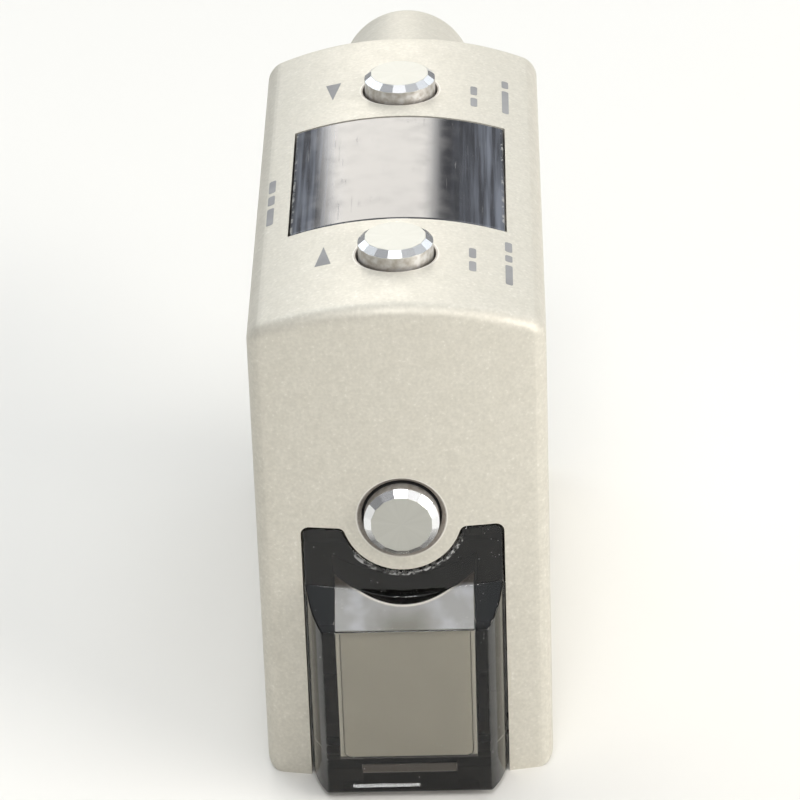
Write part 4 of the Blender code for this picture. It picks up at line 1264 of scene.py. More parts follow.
@dataclass(frozen=True)
class BoardLaminate:
    """Green board laminate with traces under its lacquer."""

    name: str = "board_laminate"

    def make(self, effects: Effects) -> bpy.types.Material:
        """Builds the material.

        Args:
            effects: The shared groups.

        Returns:
            The material.
        """
        surface = Surface(self.name, (0.02, 0.09, 0.04), 0.32)
        tree = surface.tree
        bricks = tree.nodes.new("ShaderNodeTexBrick")
        tree.links.new(surface.place, bricks.inputs["Vector"])
        bricks.inputs["Scale"].default_value = 900
        bricks.inputs["Mortar Size"].default_value = 0.12
        bricks.inputs["Color1"].default_value = (0.016, 0.075, 0.032, 1)
        bricks.inputs["Color2"].default_value = (0.02, 0.09, 0.04, 1)
        bricks.inputs["Mortar"].default_value = (0.035, 0.14, 0.06, 1)
        surface.drive("Base Color", bricks.outputs["Color"])
        grain = surface.effect(effects.grain)
        surface.drive("Roughness", remap(tree, grain["Tone"], 0, 1, 0.28, 0.4))
        surface.bump(bricks.outputs["Fac"], 0.2, 0.01 * MM)
        return surface.material


@dataclass(frozen=True)
class FloorPaint:
    """The pale studio floor."""

    name: str = "floor_paint"
    colour: Colour = (0.77, 0.76, 0.73)

    def make(self, effects: Effects) -> bpy.types.Material:
        """Builds the material.

        Args:
            effects: The shared groups.

        Returns:
            The material.
        """
        surface = Surface(self.name, self.colour, 0.75)
        tone = remap(surface.tree, noise(surface.tree, surface.place, 6, 3), 0.3, 0.7, 0, 1)
        light = tuple(level * 1.03 for level in self.colour)
        surface.drive("Base Color", blend_colours(surface.tree, tone, self.colour, light))
        return surface.material


# Pieces


class Piece:
    """A sub-assembly's piece: it is built, dressed, and set on the body that it moves with."""

    body = "housing"

    def finish(self, made: bpy.types.Object, material: bpy.types.Material, stands_for: str, slot: str = "") -> None:
        """Dresses a piece, sets it on its body and reports it.

        Args:
            made: The finished mesh object.
            material: Its material.
            stands_for: The CAD node that it replaces, or an empty text.
            slot: The record's material slot, for a piece that replaces nothing; not used.
        """
        made.data.materials.clear()
        made.data.materials.append(material)
        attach(made, self.body)
        if stands_for:
            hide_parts(stands_for)
        LOG.info("%s: %d faces", made.name, len(made.data.polygons))


@dataclass(frozen=True)
class HousingShell(Piece):
    """The one-piece housing: crowned shell, gland boss, and every opening in it."""

    wall: float = 1.5 * MM
    inner_front: float = -16.2 * MM
    inner_rear: float = 16.1 * MM
    inner_top: float = 28.4 * MM
    bar: float = 4.8 * MM
    cross_hole: float = 1.6 * MM
    cross_edge: float = 2.8 * MM
    bore: float = 2.35 * MM
    top_mouth: float = 2.5 * MM
    set_mouth: float = 2.66 * MM
    bore_floor: float = 1.5 * MM
    stem: float = 1.32 * MM
    display_half: float = 6.47 * MM
    display_front: float = -7.97 * MM
    display_rear: float = 6.02 * MM
    ledge: float = 1.0 * MM
    up_axis: float = -12.24 * MM
    down_axis: float = 10.0 * MM
    gland_height: float = 23.1 * MM
    gland_base: float = 6.5 * MM
    gland_end: float = 3.85 * MM
    gland_length: float = 16.3 * MM
    gland_round: float = 3.2 * MM
    gland_rim: float = 0.4 * MM
    cable: float = 1.8 * MM
    bush_seat: float = 2.7 * MM
    bush_length: float = 6.0 * MM

    def room(self) -> bpy.types.Object:
        """The room inside, with the bars of the cross holes left standing at the rear."""
        inner = FORM.half - self.wall
        made = block("room", (-inner, self.inner_front, -BEYOND), (inner, self.inner_rear, self.inner_top))
        bar_front = FORM.rear - self.bar
        low = (-FORM.half, bar_front, FORM.height - self.bar)
        combine(made, block("upper_bar", low, (FORM.half, FORM.rear, FORM.height)))
        low = (-FORM.half, bar_front, -2 * BEYOND)
        return combine(made, block("lower_bar", low, (FORM.half, FORM.rear, self.bar)))

    def gland(self) -> bpy.types.Object:
        """The tapered gland boss with its rounded end."""
        shoulder = self.gland_length - self.gland_round
        neck = self.gland_base - (self.gland_base - self.gland_end) * shoulder / self.gland_length
        end = arc((neck - self.gland_round, shoulder), self.gland_round, 90, 0, 14)
        profile = [(0, self.gland_length), *end, (self.gland_base, 0), (self.gland_base, -MM), (0, -MM)]
        return posed(turned("gland", profile, 96), (0, FORM.rear, self.gland_height), Facing.REAR)

    def cable_way(self) -> bpy.types.Object:
        """The cable's way through the boss, widened for the bush."""
        end = self.gland_length + BEYOND
        seat = self.gland_length - self.bush_length
        inside = -3 * MM
        lead = self.bush_seat + 0.3 * MM
        profile = [
            (0, end),
            (lead + BEYOND, end),
            (self.bush_seat, self.gland_length - self.gland_rim - 0.2 * MM),
            (self.bush_seat, seat),
            (self.cable, seat),
            (self.cable, inside),
            (0, inside),
        ]
        return posed(turned("cable_way", profile, 64), (0, FORM.rear, self.gland_height), Facing.REAR)

    def button_way(
        self, name: str, location: Point, facing: Facing, mouth: float, thickness: float
    ) -> bpy.types.Object:
        """A button's stepped bore with its flared mouth.

        Args:
            name: The cutter's name.
            location: The crown's apex on the bore's axis.
            facing: The way that the bore looks.
            mouth: The mouth's radius at the apex.
            thickness: The wall's thickness at the apex.

        Returns:
            The cutter.
        """
        flare = mouth - self.bore
        floor = self.bore_floor - thickness
        profile = [
            (0, BEYOND),
            (self.bore + flare + BEYOND, BEYOND),
            (self.bore, -flare),
            (self.bore, floor),
            (self.stem, floor),
            (self.stem, -thickness - BEYOND),
            (0, -thickness - BEYOND),
        ]
        return posed(turned(name, profile, 64), location, facing)

    def openings(self) -> Iterable[bpy.types.Object]:
        """Everything that is cut out of the front, the top and the sides."""
        apex, top = FORM.apex, FORM.top
        yield upright_solid("slot", FORM.slot_outline(0, -BEYOND), apex - BEYOND, self.inner_front + OVERLAP)
        half = self.display_half
        floor = FORM.height - self.ledge
        low = (-half, self.display_front, floor)
        yield block("display_pocket", low, (half, self.display_rear, top + BEYOND))
        low = (-half + self.ledge, self.display_front + self.ledge, self.inner_top - OVERLAP)
        yield block("display_way", low, (half - self.ledge, self.display_rear - self.ledge, floor + OVERLAP))
        thick = top - self.inner_top
        yield self.button_way("up_way", (0, self.up_axis, top), Facing.UP, self.top_mouth, thick)
        yield self.button_way("down_way", (0, self.down_axis, top), Facing.UP, self.top_mouth, thick)
        place = (0, apex, FORM.set_height)
        yield self.button_way("set_way", place, Facing.FRONT, self.set_mouth, self.inner_front - apex)
        for height in (self.cross_edge, FORM.height - self.cross_edge):
            yield self.cross_way(height)

    def cross_way(self, height: float) -> bpy.types.Object:
        """A cross hole's cutter, with a small chamfer at each side.

        Args:
            height: The hole's height.

        Returns:
            The cutter.
        """
        rim = 0.15 * MM
        end = FORM.half + BEYOND
        side = FORM.half - rim
        profile = [
            (0, end),
            (self.cross_hole + rim + BEYOND, end),
            (self.cross_hole, side),
            (self.cross_hole, -side),
            (self.cross_hole + rim + BEYOND, -end),
            (0, -end),
        ]
        return posed(turned("cross_way", profile, 48), (0, FORM.rear - self.cross_edge, height), Facing.ACROSS)

    def build(self) -> bpy.types.Object:
        """Models the housing.

        Returns:
            The finished mesh object.
        """
        made = FORM.blank("housing_shell")
        combine(made, self.room())
        combine(made, self.gland(), Join.ADD)
        for cutter in self.openings():
            combine(made, cutter)
        combine(made, self.cable_way())
        smooth(made, 24)
        return made


@dataclass(frozen=True)
class LensCover(Piece):
    """The smoked lens cover: a flush web in the slot, a lip behind the wall and a scooped, sloping nose."""

    gap: float = 0.12 * MM
    lip: float = 0.6 * MM
    lip_front: float = -15.5 * MM
    lip_rear: float = -14.5 * MM
    nose_front: float = -21.5 * MM
    nose_base: float = 5.8 * MM
    nose_half: float = 4.84 * MM
    nose_bulge: float = 0.18 * MM
    nose_lift: float = 0.45 * MM
    facet_low: float = 11.8 * MM
    facet_slope: float = 0.596
    scoop: float = 7.09 * MM
    scoop_height: float = 19.81 * MM
    scoop_wall: float = 0.06 * MM
    slope_wall: float = 0.12 * MM
    visor_wall: float = 0.25 * MM
    visor_low: float = 11.62 * MM
    foot_round: float = 0.3 * MM
    wall: float = 0.9 * MM
    room_half: float = 4.12 * MM
    room_low: float = 2.58 * MM
    key_half: float = 2.85 * MM
    key_low: float = 1.55 * MM
    key_high: float = 2.2 * MM
    bridge: float = 1.2 * MM
    rear_reach: float = 0.1 * MM
    edge: float = 0.08 * MM
    tiny: float = 0.02 * MM
    bead_width: Span = (-3.5 * MM, 0.7 * MM)
    bead_rise: Span = (0.84 * MM, 1.16 * MM)
    bead_proud: float = 0.16 * MM
    bead_chamfer: float = 0.14 * MM

    def above_facet(self, depth: float) -> bpy.types.Object:
        """What lies above the sloping facet, or above a plane that deep inside it.

        Args:
            depth: The depth below the facet.

        Returns:
            The cutter.
        """
        run = 6 * MM
        drop = depth * math.hypot(1, self.facet_slope)
        start = (self.nose_front - run, self.facet_low - drop - run * self.facet_slope)
        stop = (self.nose_front + run, self.facet_low - drop + run * self.facet_slope)
        outline = [start, stop, (stop[0], FORM.height), (start[0], FORM.height)]
        made = outline_solid("above_facet", outline, -FORM.half, FORM.half)
        made.data.transform(Matrix(((0, 0, 1, 0), (1, 0, 0, 0), (0, 1, 0, 0), (0, 0, 0, 1))))
        return made

    def scoop_way(self, grow: float) -> bpy.types.Object:
        """The round scoop under the front button.

        Args:
            grow: How much larger its radius is.

        Returns:
            The cutter.
        """
        radius = self.scoop + grow
        far, near = -self.nose_front + BEYOND, -self.lip_rear - OVERLAP
        profile = [(0, far), (radius, far), (radius, near), (0, near)]
        return posed(turned("scoop", profile, 160), (0, 0, self.scoop_height), Facing.FRONT)

    def room(self, gap: float = 0.0) -> bpy.types.Object:
        """The space inside the nose with its key slot, or what fills it but for a gap all round.

        Args:
            gap: The gap.

        Returns:
            The closed solid.
        """
        half = self.room_half - gap
        front = self.nose_front + self.wall + gap
        rear = self.lip_rear + self.rear_reach - 2 * gap
        low = self.room_low + gap
        made = block("nose_room", (-half, front, low), (half, rear, FORM.height / 2))
        visor_front = self.nose_front + self.visor_wall + gap
        visor_low = (-half + 2 * WELD, visor_front, self.visor_low + gap)
        visor_high = (half - 2 * WELD, front + OVERLAP, FORM.height / 2 - 2 * WELD)
        combine(made, block("visor", visor_low, visor_high), Join.ADD)
        combine(made, self.above_facet(self.slope_wall + gap))
        combine(made, self.scoop_way(self.scoop_wall + gap))
        key = self.key_half - gap
        bridge_front = self.lip_rear + self.rear_reach - self.bridge + gap
        bridge_low = (-key, bridge_front, self.key_low + gap)
        combine(made, block("bridge", bridge_low, (key, rear - 2 * WELD, low + OVERLAP)), Join.ADD)
        key_low = (-key + 2 * WELD, front, self.key_low + gap + 2 * WELD)
        key_high = (key - 2 * WELD, bridge_front + OVERLAP, self.key_high - gap)
        return combine(made, block("key", key_low, key_high), Join.ADD)

    def side(self, steps: int = 12) -> list[Flat]:
        """The nose's bulged side, seen from above.

        Args:
            steps: The number of steps along it.

        Returns:
            Points in X and Y from the front face to the slot.
        """
        shoulder = FORM.front - FORM.crown(self.nose_base, FORM.front_crown)
        across, along = self.nose_base - self.nose_half, shoulder - self.nose_front
        length = math.hypot(across, along)
        points = []
        for index in range(steps + 1):
            share = index / steps
            rise = 4 * self.nose_bulge * share * (1 - share) / length
            place = (self.nose_half + share * across, self.nose_front + share * along)
            points.append((place[0] + rise * along, place[1] - rise * across))
        return points

    def nose(self) -> bpy.types.Object:
        """The nose with its facet and scoop, before it is hollowed."""
        root = self.lip_front - OVERLAP
        right = [*self.side(), (self.nose_base, root)]
        outline = [(-across, along) for across, along in reversed(right)] + right
        low = self.nose_lift - OVERLAP - 0.2 * MM
        made = outline_solid("nose", outline, low, FORM.slot_top - FORM.horn - BEYOND)
        combine(made, self.above_facet(0))
        return combine(made, self.scoop_way(0))

    def round_foot(self, made: bpy.types.Object) -> None:
        """Rounds the lower front edge of the nose.

        Args:
            made: The cover.
        """
        def is_low_front(one: Vector, two: Vector) -> bool:
            """Whether both ends of an edge lie on the nose's lower front edge."""
            lifts = [abs(end.z - self.nose_lift) for end in (one, two)]
            steps = [abs(end.y - self.nose_front) for end in (one, two)]
            return max(lifts + steps) < WELD

        mark_edges(made, is_low_front)
        bpy.ops.mesh.bevel(offset=self.foot_round, segments=5)
        bpy.ops.object.mode_set(mode="OBJECT")

    def build(self) -> bpy.types.Object:
        """Models the cover.

        Returns:
            The finished mesh object.
        """
        below = self.nose_lift - OVERLAP
        outline = FORM.slot_outline(-self.gap, below)
        made = upright_solid("cover_web", outline, FORM.apex - BEYOND, self.lip_rear - 0.5 * MM)
        combine(made, FORM.blank("flush_form"), Join.KEEP)
        lip_outline = FORM.slot_outline(self.lip, below - 0.1 * MM)
        combine(made, upright_solid("lip", lip_outline, self.lip_front, self.lip_rear), Join.ADD)
        combine(made, self.nose(), Join.ADD)
        combine(made, self.room())
        foot_low = (-FORM.half, self.nose_front - BEYOND, -BEYOND)
        combine(made, block("foot", foot_low, (FORM.half, self.lip_rear + BEYOND, self.nose_lift)))
        self.round_foot(made)
        bead_low = (self.bead_width[0], self.nose_front - self.bead_proud, self.bead_rise[0])
        bead_high = (self.bead_width[1], self.nose_front + OVERLAP, self.bead_rise[1])
        bead = block("bead", bead_low, bead_high)
        round_edges(bead, self.bead_chamfer, 1, 60)
        merge_points(made, self.tiny)
        round_edges(made, self.edge, 3, 24, clamp=False)
        combine(made, bead, Join.ADD)
        smooth(made, 30)
        made.name = "smoked_cover"
        return made


@dataclass(frozen=True)
class LightWindow(Piece):
    """The light frame inside the nose and the filter panel in its front."""

    cover: LensCover
    gap: float = 0.04 * MM
    panel_half: float = 3.82 * MM
    panel_low: float = 2.7 * MM
    shaft_high: float = 10.1 * MM
    panel_thick: float = 0.8 * MM
    panel_corner: float = 0.4 * MM
    rim: float = 0.4 * MM

    def front(self) -> float:
        """The frame's front."""
        return self.cover.nose_front + self.cover.wall + self.gap

    def frame(self) -> bpy.types.Object:
        """Models the frame.

        Returns:
            The finished mesh object.
        """
        made = self.cover.room(self.gap)
        made.name = "light_frame"
        reach = self.panel_half + self.gap
        low, high = (-reach, self.panel_low - self.gap), (reach, self.cover.visor_low + self.gap)
        recess = rounded_rectangle(low, high, self.panel_corner + self.gap, 0)
        front = self.front()
        combine(made, upright_solid("recess", recess, front - BEYOND, front + self.panel_thick + self.gap))
        inner = self.panel_half - self.rim
        low, high = (-inner, self.panel_low + self.rim), (inner, self.shaft_high)
        shaft = rounded_rectangle(low, high, self.rim, self.rim)
        combine(made, upright_solid("shaft", shaft, front - BEYOND, self.cover.lip_rear + BEYOND))
        round_edges(made, 0.04 * MM, 2, 30)
        smooth(made, 30)
        return made

    def panel(self) -> bpy.types.Object:
        """Models the filter panel.

        Returns:
            The finished mesh object.
        """
        low, high = (-self.panel_half, self.panel_low), (self.panel_half, self.cover.visor_low)
        outline = rounded_rectangle(low, high, self.panel_corner, 0)
        made = upright_solid("filter_pane", outline, self.front(), self.front() + self.panel_thick)
        round_edges(made, 0.05 * MM, 2, 30)
        smooth(made, 30)
        return made


@dataclass(frozen=True)
class DisplayWindow(Piece):
    """The crowned display window in its pocket."""

    half: float = 6.37 * MM
    front: float = -7.87 * MM
    rear: float = 5.92 * MM
    low: float = 29.6 * MM

    def build(self) -> bpy.types.Object:
        """Models the window.

        Returns:
            The finished mesh object.
        """
        top = FORM.top + BEYOND
        made = block("display_glass", (-self.half, self.front, self.low), (self.half, self.rear, top))
        combine(made, FORM.blank("window_form"), Join.KEEP)
        round_edges(made, 0.12 * MM, 3, 40)
        smooth(made, 30)
        return made


@dataclass(frozen=True)
class PrintedMarks(Piece):
    """Plain printed marks beside the buttons and the display: two arrows and short bars."""

    ink: float = 0.012 * MM
    sunk: float = 0.3 * MM
    arrow_size: Flat = (0.95 * MM, 2.3 * MM)
    up_arrow: Flat = (-4.25 * MM, -11.7 * MM)
    down_arrow: Flat = (-4.2 * MM, 10.5 * MM)
    dash_width: float = 0.42 * MM
    dash_gap: float = 0.45 * MM
    rows_in_mm: tuple[tuple[float, float, tuple[float, ...]], ...] = (
        (4.45, -13.9, (1.2, 1.2)),
        (6.55, -14.6, (2.4, 0.8, 1.2)),
        (4.6, 8.2, (1.2, 1.2)),
        (6.55, 8.2, (3.2, 1.0)),
        (-7.65, -5.6, (2.2, 1.2, 1.6)),
    )

    def arrow(self, centre: Flat, pointing: int) -> list[Flat]:
        """A plain triangle.

        Args:
            centre: Its middle.
            pointing: 1 to point to the rear, -1 to the front.

        Returns:
            The outline's points.
        """
        half, reach = self.arrow_size[0] / 2, self.arrow_size[1] / 2 * pointing
        base = (centre[0] - half, centre[1] - reach), (centre[0] + half, centre[1] - reach)
        return [*base, (centre[0], centre[1] + reach)]

    def dashes(self, start: Flat, lengths: Sequence[float]) -> Iterable[list[Flat]]:
        """A row of rounded dashes along Y.

        Args:
            start: The front end of the row, at its middle.
            lengths: Each dash's length.

        Returns:
            Each dash's outline.
        """
        along, width = start[1], self.dash_width
        for length in lengths:
            low, high = (start[0] - width / 2, along), (start[0] + width / 2, along + length)
            yield rounded_rectangle(low, high, width / 3, width / 3, 4)
            along += length + self.dash_gap

    def outlines(self) -> Iterable[list[Flat]]:
        """Every mark's outline, in X and Y."""
        yield self.arrow(self.up_arrow, 1)
        yield self.arrow(self.down_arrow, -1)
        for across, front, lengths in self.rows_in_mm:
            yield from self.dashes((across * MM, front * MM), [length * MM for length in lengths])

    def build(self) -> bpy.types.Object:
        """Models the marks, a hair above the crowned top and let into it.

        Returns:
            The finished mesh object.
        """
        form = posed(FORM.blank("print_form"), (0, 0, self.ink))
        low, high = FORM.height - self.sunk, FORM.top + BEYOND
        marks = [outline_solid("print", outline, low, high) for outline in self.outlines()]
        bpy.ops.object.select_all(action="DESELECT")
        for mark in marks:
            mark.select_set(True)
        bpy.context.view_layer.objects.active = marks[0]
        bpy.ops.object.join()
        made = combine(marks[0], form, Join.KEEP)
        smooth(made, 30)
        made.name = "printed_marks"
        return made


@dataclass(frozen=True)
class WornEdge(Piece):
    """The worn, rough edge on the lens cover beside the button's tongue, with its glints painted as light specks."""

    inner: float = 3.74 * MM
    outer: float = 3.92 * MM
    span: Span = (222.0, 334.0)
    rise: float = 0.012 * MM
    sunk: float = 0.6 * MM

    def build(self) -> bpy.types.Object:
        """Models the band that holds the specks, a hair in front of the crowned cover.

        Returns:
            The finished mesh object.
        """
        form = posed(FORM.blank("worn_form"), (0, -self.rise, 0))
        start, stop = self.span
        middle = (0.0, FORM.set_height)
        outline = arc(middle, self.outer, start, stop, 40) + arc(middle, self.inner, stop, start, 40)
        made = upright_solid("worn_band", outline, FORM.apex - BEYOND, FORM.front + self.sunk)
        combine(made, form, Join.KEEP)
        smooth(made, 30)
        made.name = "worn_edge_glints"
        return made


@dataclass(frozen=True)
class PushButton(Piece):
    """A turned push button with flat-cut facets round its face."""

    name: str
    location: Point
    facing: Facing
    proud: float
    thickness: float
    cap: float = 2.2 * MM
    flat: float = 1.75 * MM
    facets: int = 16
    drop: float = 0.36 * MM
    stem: float = 1.2 * MM
    groove: float = 0.5 * MM
    ring: float = 0.66 * MM
    ring_drop: float = 0.1 * MM
    bore_floor: float = 1.5 * MM
    travel: float = 0.5 * MM
    clip_gap: float = 0.06 * MM
    clip_drop: float = 0.1 * MM
    clip_high: float = 0.42 * MM
    clip_deep: float = 0.3 * MM
    tail: float = 0.8 * MM
    chamfer: float = 0.2 * MM
    past_stem: float = 1.8 * MM
    steps: int = 96

    @property
    def body(self) -> str:
        """The body that the button is."""
        return f"{self.name}_button"

    def profile(self) -> list[Flat]:
        """The button's profile, from the middle of its face to the end of its stem."""
        base = self.bore_floor - self.thickness + self.travel
        middle = (base + min(0.0, self.proud - self.drop)) / 2 - self.ring_drop
        ring_top, ring_low = middle + self.ring / 2, middle - self.ring / 2
        clip_top = self.clip_gap - self.thickness - self.clip_drop
        clip_low = clip_top - self.clip_high
        end = -self.thickness - self.tail
        neck = self.stem - self.clip_deep
        return [
            (0, self.proud),
            (self.cap, self.proud),
            (self.cap, ring_top),
            (self.cap - self.groove, ring_top),
            (self.cap - self.groove, ring_low),
            (self.cap, ring_low),
            (self.cap, base),
            (self.stem, base),
            (self.stem, clip_top),
            (neck, clip_top),
            (neck, clip_low),
            (self.stem, clip_low),
            (self.stem, end + self.chamfer),
            (self.stem - self.chamfer, end),
            (0, end),
        ]

    def build(self) -> bpy.types.Object:
        """Models the button.

        Returns:
            The finished mesh object.
        """
        made = turned(f"{self.name}_cap", self.profile(), self.steps)
        slope = (self.cap - self.flat) / self.drop
        height = self.proud + self.thickness + self.past_stem
        bpy.ops.mesh.primitive_cone_add(
            vertices=self.facets,
            radius1=(self.flat + slope * height) / math.cos(math.pi / self.facets),
            radius2=self.flat / math.cos(math.pi / self.facets),
            depth=height,
            location=(0, 0, self.proud - height / 2),
            rotation=(0, 0, math.pi / self.facets),
        )
        facets = settle(bpy.context.object)
        combine(made, facets, Join.KEEP)
        posed(made, self.location, self.facing)
        smooth(made, 12)
        return made


@dataclass(frozen=True)
class GlandBush(Piece):
    """The rubber bush in the end of the gland, with the cable's empty bore."""

    radius: float = 2.6 * MM
    bore: float = 1.8 * MM
    length: float = 5.9 * MM
    proud: float = -0.5 * MM
    end: float = 34.4 * MM
    height: float = 23.1 * MM

    def build(self) -> bpy.types.Object:
        """Models the bush.

        Returns:
            The finished mesh object.
        """
        lip = 0.2 * MM
        profile = [
            *arc((self.radius - lip, self.proud - lip), lip, 90, 0, 5),
            (self.radius, -self.length),
            (self.bore, -self.length),
            *arc((self.bore + lip, self.proud - lip), lip, 180, 90, 5),
        ]
        made = posed(turned("cable_bush", profile, 72), (0, self.end, self.height), Facing.REAR)
        smooth(made, 40)
        return made


# Studio


@dataclass(frozen=True)
class Camera:
    """The photograph's camera."""

    location: Point = (0.00629, -0.23627, 0.14789)
    right: Point = (0.99945, 0.01112, -0.0306)
    up: Point = (0.02126, 0.4898, 0.87166)
    back: Point = (0.02461, -0.87179, 0.48928)
    lens: float = 195.71

    def build(self) -> None:
        """Makes the camera and gives it to the scene."""
        bpy.ops.object.camera_add(location=self.location)
        made = bpy.context.object
        made.name = "photo_camera"
        turn = Matrix((self.right, self.up, self.back)).transposed()
        made.rotation_euler = turn.to_euler()
        made.data.lens = self.lens
        made.data.sensor_width = 36
        made.data.clip_start = 0.01
        bpy.context.scene.camera = made


@dataclass(frozen=True)
class Lamp:
    """A soft square lamp that looks at the sensor."""

    name: str
    azimuth: float
    elevation: float
    distance: float
    size: float
    power: float
    colour: Colour
    aim: float = 0.016

    def build(self) -> None:
        """Makes the lamp, which looks at a place above the middle of the floor."""
        turn, lift = math.radians(self.azimuth), math.radians(self.elevation)
        way = Vector((math.sin(turn) * math.cos(lift), -math.cos(turn) * math.cos(lift), math.sin(lift)))
        target = Vector((0, 0, self.aim))
        bpy.ops.object.light_add(type="AREA", location=target + way * self.distance)
        made = bpy.context.object
        made.name = self.name
        made.rotation_euler = way.to_track_quat("Z", "Y").to_euler()
        made.data.shape = "SQUARE"
        made.data.size = self.size
        made.data.energy = self.power
        made.data.color = self.colour


@dataclass(frozen=True)
class Studio:
    """The floor, the room's even light with one soft panel behind the sensor, and the lamps."""

    level: float = 0.23
    colour: Colour = (0.985, 0.99, 1.0)
    panel: float = 5.0
    panel_colour: Colour = (1.0, 0.96, 0.90)
    panel_azimuth: Span = (-13.8, 4.9)
    panel_elevation: Span = (18.0, 42.0)
    panel_soft: Span = (3.2, 4.0)

    def floor(self, paint: bpy.types.Material) -> None:
        """Makes the floor.

        Args:
            paint: Its material.
        """
        bpy.ops.mesh.primitive_plane_add(size=3.0, location=(0, 0, 0))
        made = bpy.context.object
        made.name = "studio_floor"
        made.data.materials.append(paint)

    def world(self) -> None:
        """Makes the room's light: an even level, and a soft panel where the display reflects it."""
        world = bpy.data.worlds.new("studio")
        bpy.context.scene.world = world
        world.use_nodes = True
        tree = world.node_tree
        place = tree.nodes.new("ShaderNodeTexCoord").outputs["Generated"]
        side, ahead, lift = axes(tree, place)
        across = arithmetic(tree, "ARCTAN2", side, ahead)
        rise = arithmetic(tree, "ARCSINE", lift)
        mask = 1.0
        spans = (self.panel_azimuth, self.panel_elevation)
        for value, (low, high), soft in zip((across, rise), spans, self.panel_soft):
            low, high, soft = math.radians(low), math.radians(high), math.radians(soft)
            enter = remap(tree, value, low - soft / 2, low + soft / 2, 0, 1)
            leave = remap(tree, value, high - soft / 2, high + soft / 2, 1, 0)
            inside = times(tree, enter, leave)
            mask = times(tree, inside, mask)
        strength = arithmetic(tree, "ADD", times(tree, mask, self.panel), self.level)
        back = tree.nodes["Background"]
        tint = blend_colours(tree, mask, self.colour, self.panel_colour)
        tree.links.new(tint, back.inputs["Color"])
        tree.links.new(strength, back.inputs["Strength"])

    def lamps(self) -> None:
        """Makes the lamps."""
        warm, white, cool = (1.0, 0.965, 0.91), (1.0, 1.0, 1.0), (0.90, 0.955, 1.0)
        for row in (
            ("right_lamp", 64, 24, 0.8, 0.5, 4.9, warm),
            ("top_lamp", 2, 56, 0.8, 0.6, 1.9, white),
            ("over_lamp", 0, 108, 0.8, 0.7, 1.3, cool),
            ("glint_lamp", -3, 54, 0.8, 0.16, 1.0, white),
            ("rear_left_lamp", -138, 42, 0.9, 0.6, 2.2, cool),
            ("rear_right_lamp", 138, 42, 0.9, 0.6, 1.3, cool),
        ):
            Lamp(*row).build()

    def build(self, paint: bpy.types.Material) -> None:
        """Builds the studio.

        Args:
            paint: The floor's material.
        """
        self.floor(paint)
        self.world()
        self.lamps()
        settings = bpy.context.scene.view_settings
        settings.view_transform = "Standard"


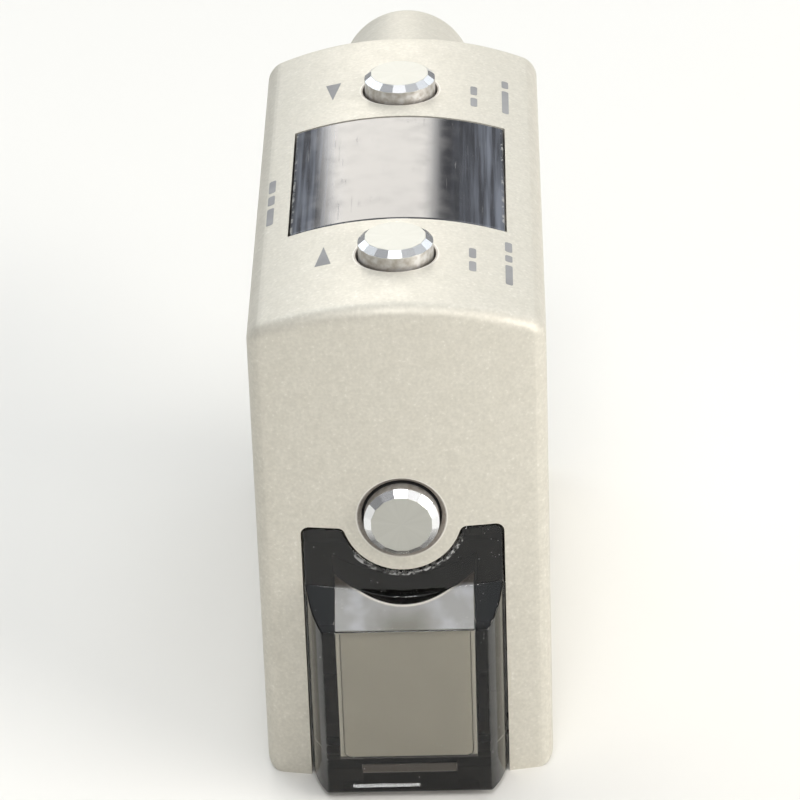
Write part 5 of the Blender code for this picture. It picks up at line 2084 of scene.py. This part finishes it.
class Wardrobe:
    """Every finish, and the CAD nodes that keep their own mesh with it."""

    STEEL_NODES = ("base_screw_1", "base_screw_2", "base_screw_3", "base_screw_4", "board_screw_1",
                   "board_screw_2", "up_clip", "down_clip", "set_clip", "laser_diode")
    BLACK_NODES = ("optics_holder", "processor", "receiver_chip", "display_module",
                   "up_switch", "down_switch", "set_switch")
    RUBBER_NODES = ("base_seal", "lens_seal", "window_seal", "up_ring", "down_ring", "set_ring")
    CREAM_NODES = ("cable_connector", "strip_connector")
    BOARD_NODES = ("main_board", "switch_board", "display_board")
    # Painted brownish shade in the mouths: lighter in the top buttons' mouths, darker in the front-facing set mouth.
    TOP_MOUTH_SHADE = (0.46, 0.42, 0.37)
    SET_MOUTH_SHADE = (0.30, 0.265, 0.235)

    def __init__(self, effects: Effects, housing: HousingShell) -> None:
        """Makes the finishes.

        Args:
            effects: The shared groups.
            housing: The housing, for the places of its mouths.
        """
        top, apex = FORM.top, FORM.apex
        mouths = (
            Mouth((0, housing.up_axis, top), Facing.UP, housing.top_mouth, self.TOP_MOUTH_SHADE),
            Mouth((0, housing.down_axis, top), Facing.UP, housing.top_mouth, self.TOP_MOUTH_SHADE),
            Mouth((0, apex, FORM.set_height), Facing.FRONT, housing.set_mouth, self.SET_MOUTH_SHADE),
        )
        self.metal = CastHousing("blasted_housing", (0.64, 0.612, 0.535), (0.665, 0.637, 0.56), mouths).make(effects)
        self.plate = BlastedMetal("blasted_plate", (0.50, 0.50, 0.49), (0.60, 0.60, 0.58), 0.42).make(effects)
        self.steel = BlastedMetal("plain_steel", (0.50, 0.49, 0.47), (0.62, 0.61, 0.58), 0.3, 1.0).make(effects)
        self.smoke = SmokedPlastic("smoked_cover", (0.98, 0.975, 0.97), (0.36, 0.32, 0.28), 400.0).make(effects)
        self.display = DisplayGlass().make(effects)
        self.rubber = Moulded("black_rubber", (0.012, 0.012, 0.012), (0.022, 0.022, 0.021), 0.7, 0.5).make(effects)
        self.black = Moulded("black_moulding", (0.014, 0.014, 0.015), (0.025, 0.025, 0.026), 0.42).make(effects)
        self.cream = Moulded("cream_moulding", (0.66, 0.63, 0.55), (0.74, 0.71, 0.63), 0.4).make(effects)
        self.frame = LightGuide().make(effects)
        self.filter = FilterPlastic().make(effects)
        self.amber = Moulded("amber_film", (0.45, 0.20, 0.03), (0.55, 0.26, 0.05), 0.35, 0.1).make(effects)
        # Painted glints on the lens cover's worn edge.
        self.specks = WornEdgeGlints().make(effects)
        self.ink = Moulded("grey_ink", (0.22, 0.22, 0.225), (0.30, 0.30, 0.305), 0.6, 0.1).make(effects)
        self.lens = ClearLens().make(effects)
        self.board = BoardLaminate().make(effects)
        self.paint = FloorPaint().make(effects)

    def dress_nodes(self, nodes: dict[str, bpy.types.Object]) -> None:
        """Gives every CAD node that keeps its mesh its finish.

        Args:
            nodes: The CAD nodes by name.
        """
        groups = (
            (self.STEEL_NODES, self.steel),
            (self.BLACK_NODES, self.black),
            (self.RUBBER_NODES, self.rubber),
            (self.CREAM_NODES, self.cream),
            (self.BOARD_NODES, self.board),
            (("emitter_lens", "receiver_lens"), self.lens),
            (("flexible_strip",), self.amber),
            (("base_plate",), self.plate),
        )
        for names, material in groups:
            for name in names:
                slots = nodes[name].material_slots
                for slot in slots:
                    slot.material = material
                LOG.info("%s keeps its mesh, with %s", name, material.name)


def cap_finish(effects: Effects, button: PushButton) -> bpy.types.Material:
    """The turned finish of one button's cap, about its own axis.

    Args:
        effects: The shared groups.
        button: The button.

    Returns:
        The material.
    """
    return TurnedMetal(
        name=f"{button.name}_turned",
        # light and dark: the colours of the painted sheen's rays on the face.
        light=(0.54, 0.538, 0.50),
        dark=(0.515, 0.513, 0.475),
        stain=(0.52, 0.49, 0.45),
        polish=(0.88, 0.885, 0.90),
        centre=button.location,
        facing=button.facing,
        face=button.proud,
        shoulder=button.proud - button.drop,
    ).make(effects)


def main() -> None:
    """Builds the studio, the finishes and every piece, and reports them."""
    logging.basicConfig(level=logging.INFO, format="%(message)s")
    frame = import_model()
    activate(next(iter(frame["nodes"].values())))
    bpy.ops.object.select_all(action="DESELECT")

    effects = Effects()
    housing = HousingShell()
    finishes = Wardrobe(effects, housing)
    Camera().build()
    Studio().build(finishes.paint)

    housing.finish(housing.build(), finishes.metal, "housing")
    cover = LensCover()
    cover.finish(cover.build(), finishes.smoke, "lens_cover")
    window = LightWindow(cover)
    window.finish(window.frame(), finishes.frame, "window_frame")
    window.finish(window.panel(), finishes.filter, "filter_panel")
    display = DisplayWindow()
    display.finish(display.build(), finishes.display, "display_window")
    top, apex = FORM.top, FORM.apex
    buttons = (
        PushButton("up", (0, housing.up_axis, top), Facing.UP, 1.05 * MM, top - housing.inner_top),
        PushButton("down", (0, housing.down_axis, top), Facing.UP, 1.05 * MM, top - housing.inner_top),
        PushButton("set", (0, apex, FORM.set_height), Facing.FRONT, 0.8 * MM, housing.inner_front - apex),
    )
    for button in buttons:
        button.finish(button.build(), cap_finish(effects, button), f"{button.name}_button")
    worn = WornEdge()
    worn.finish(worn.build(), finishes.specks, "", "smoked_plastic")
    marks = PrintedMarks()
    marks.finish(marks.build(), finishes.ink, "", "black_plastic")
    bush = GlandBush()
    bush.finish(bush.build(), finishes.rubber, "gland_bush")
    finishes.dress_nodes(frame["nodes"])


if __name__ == "__main__":
    main()
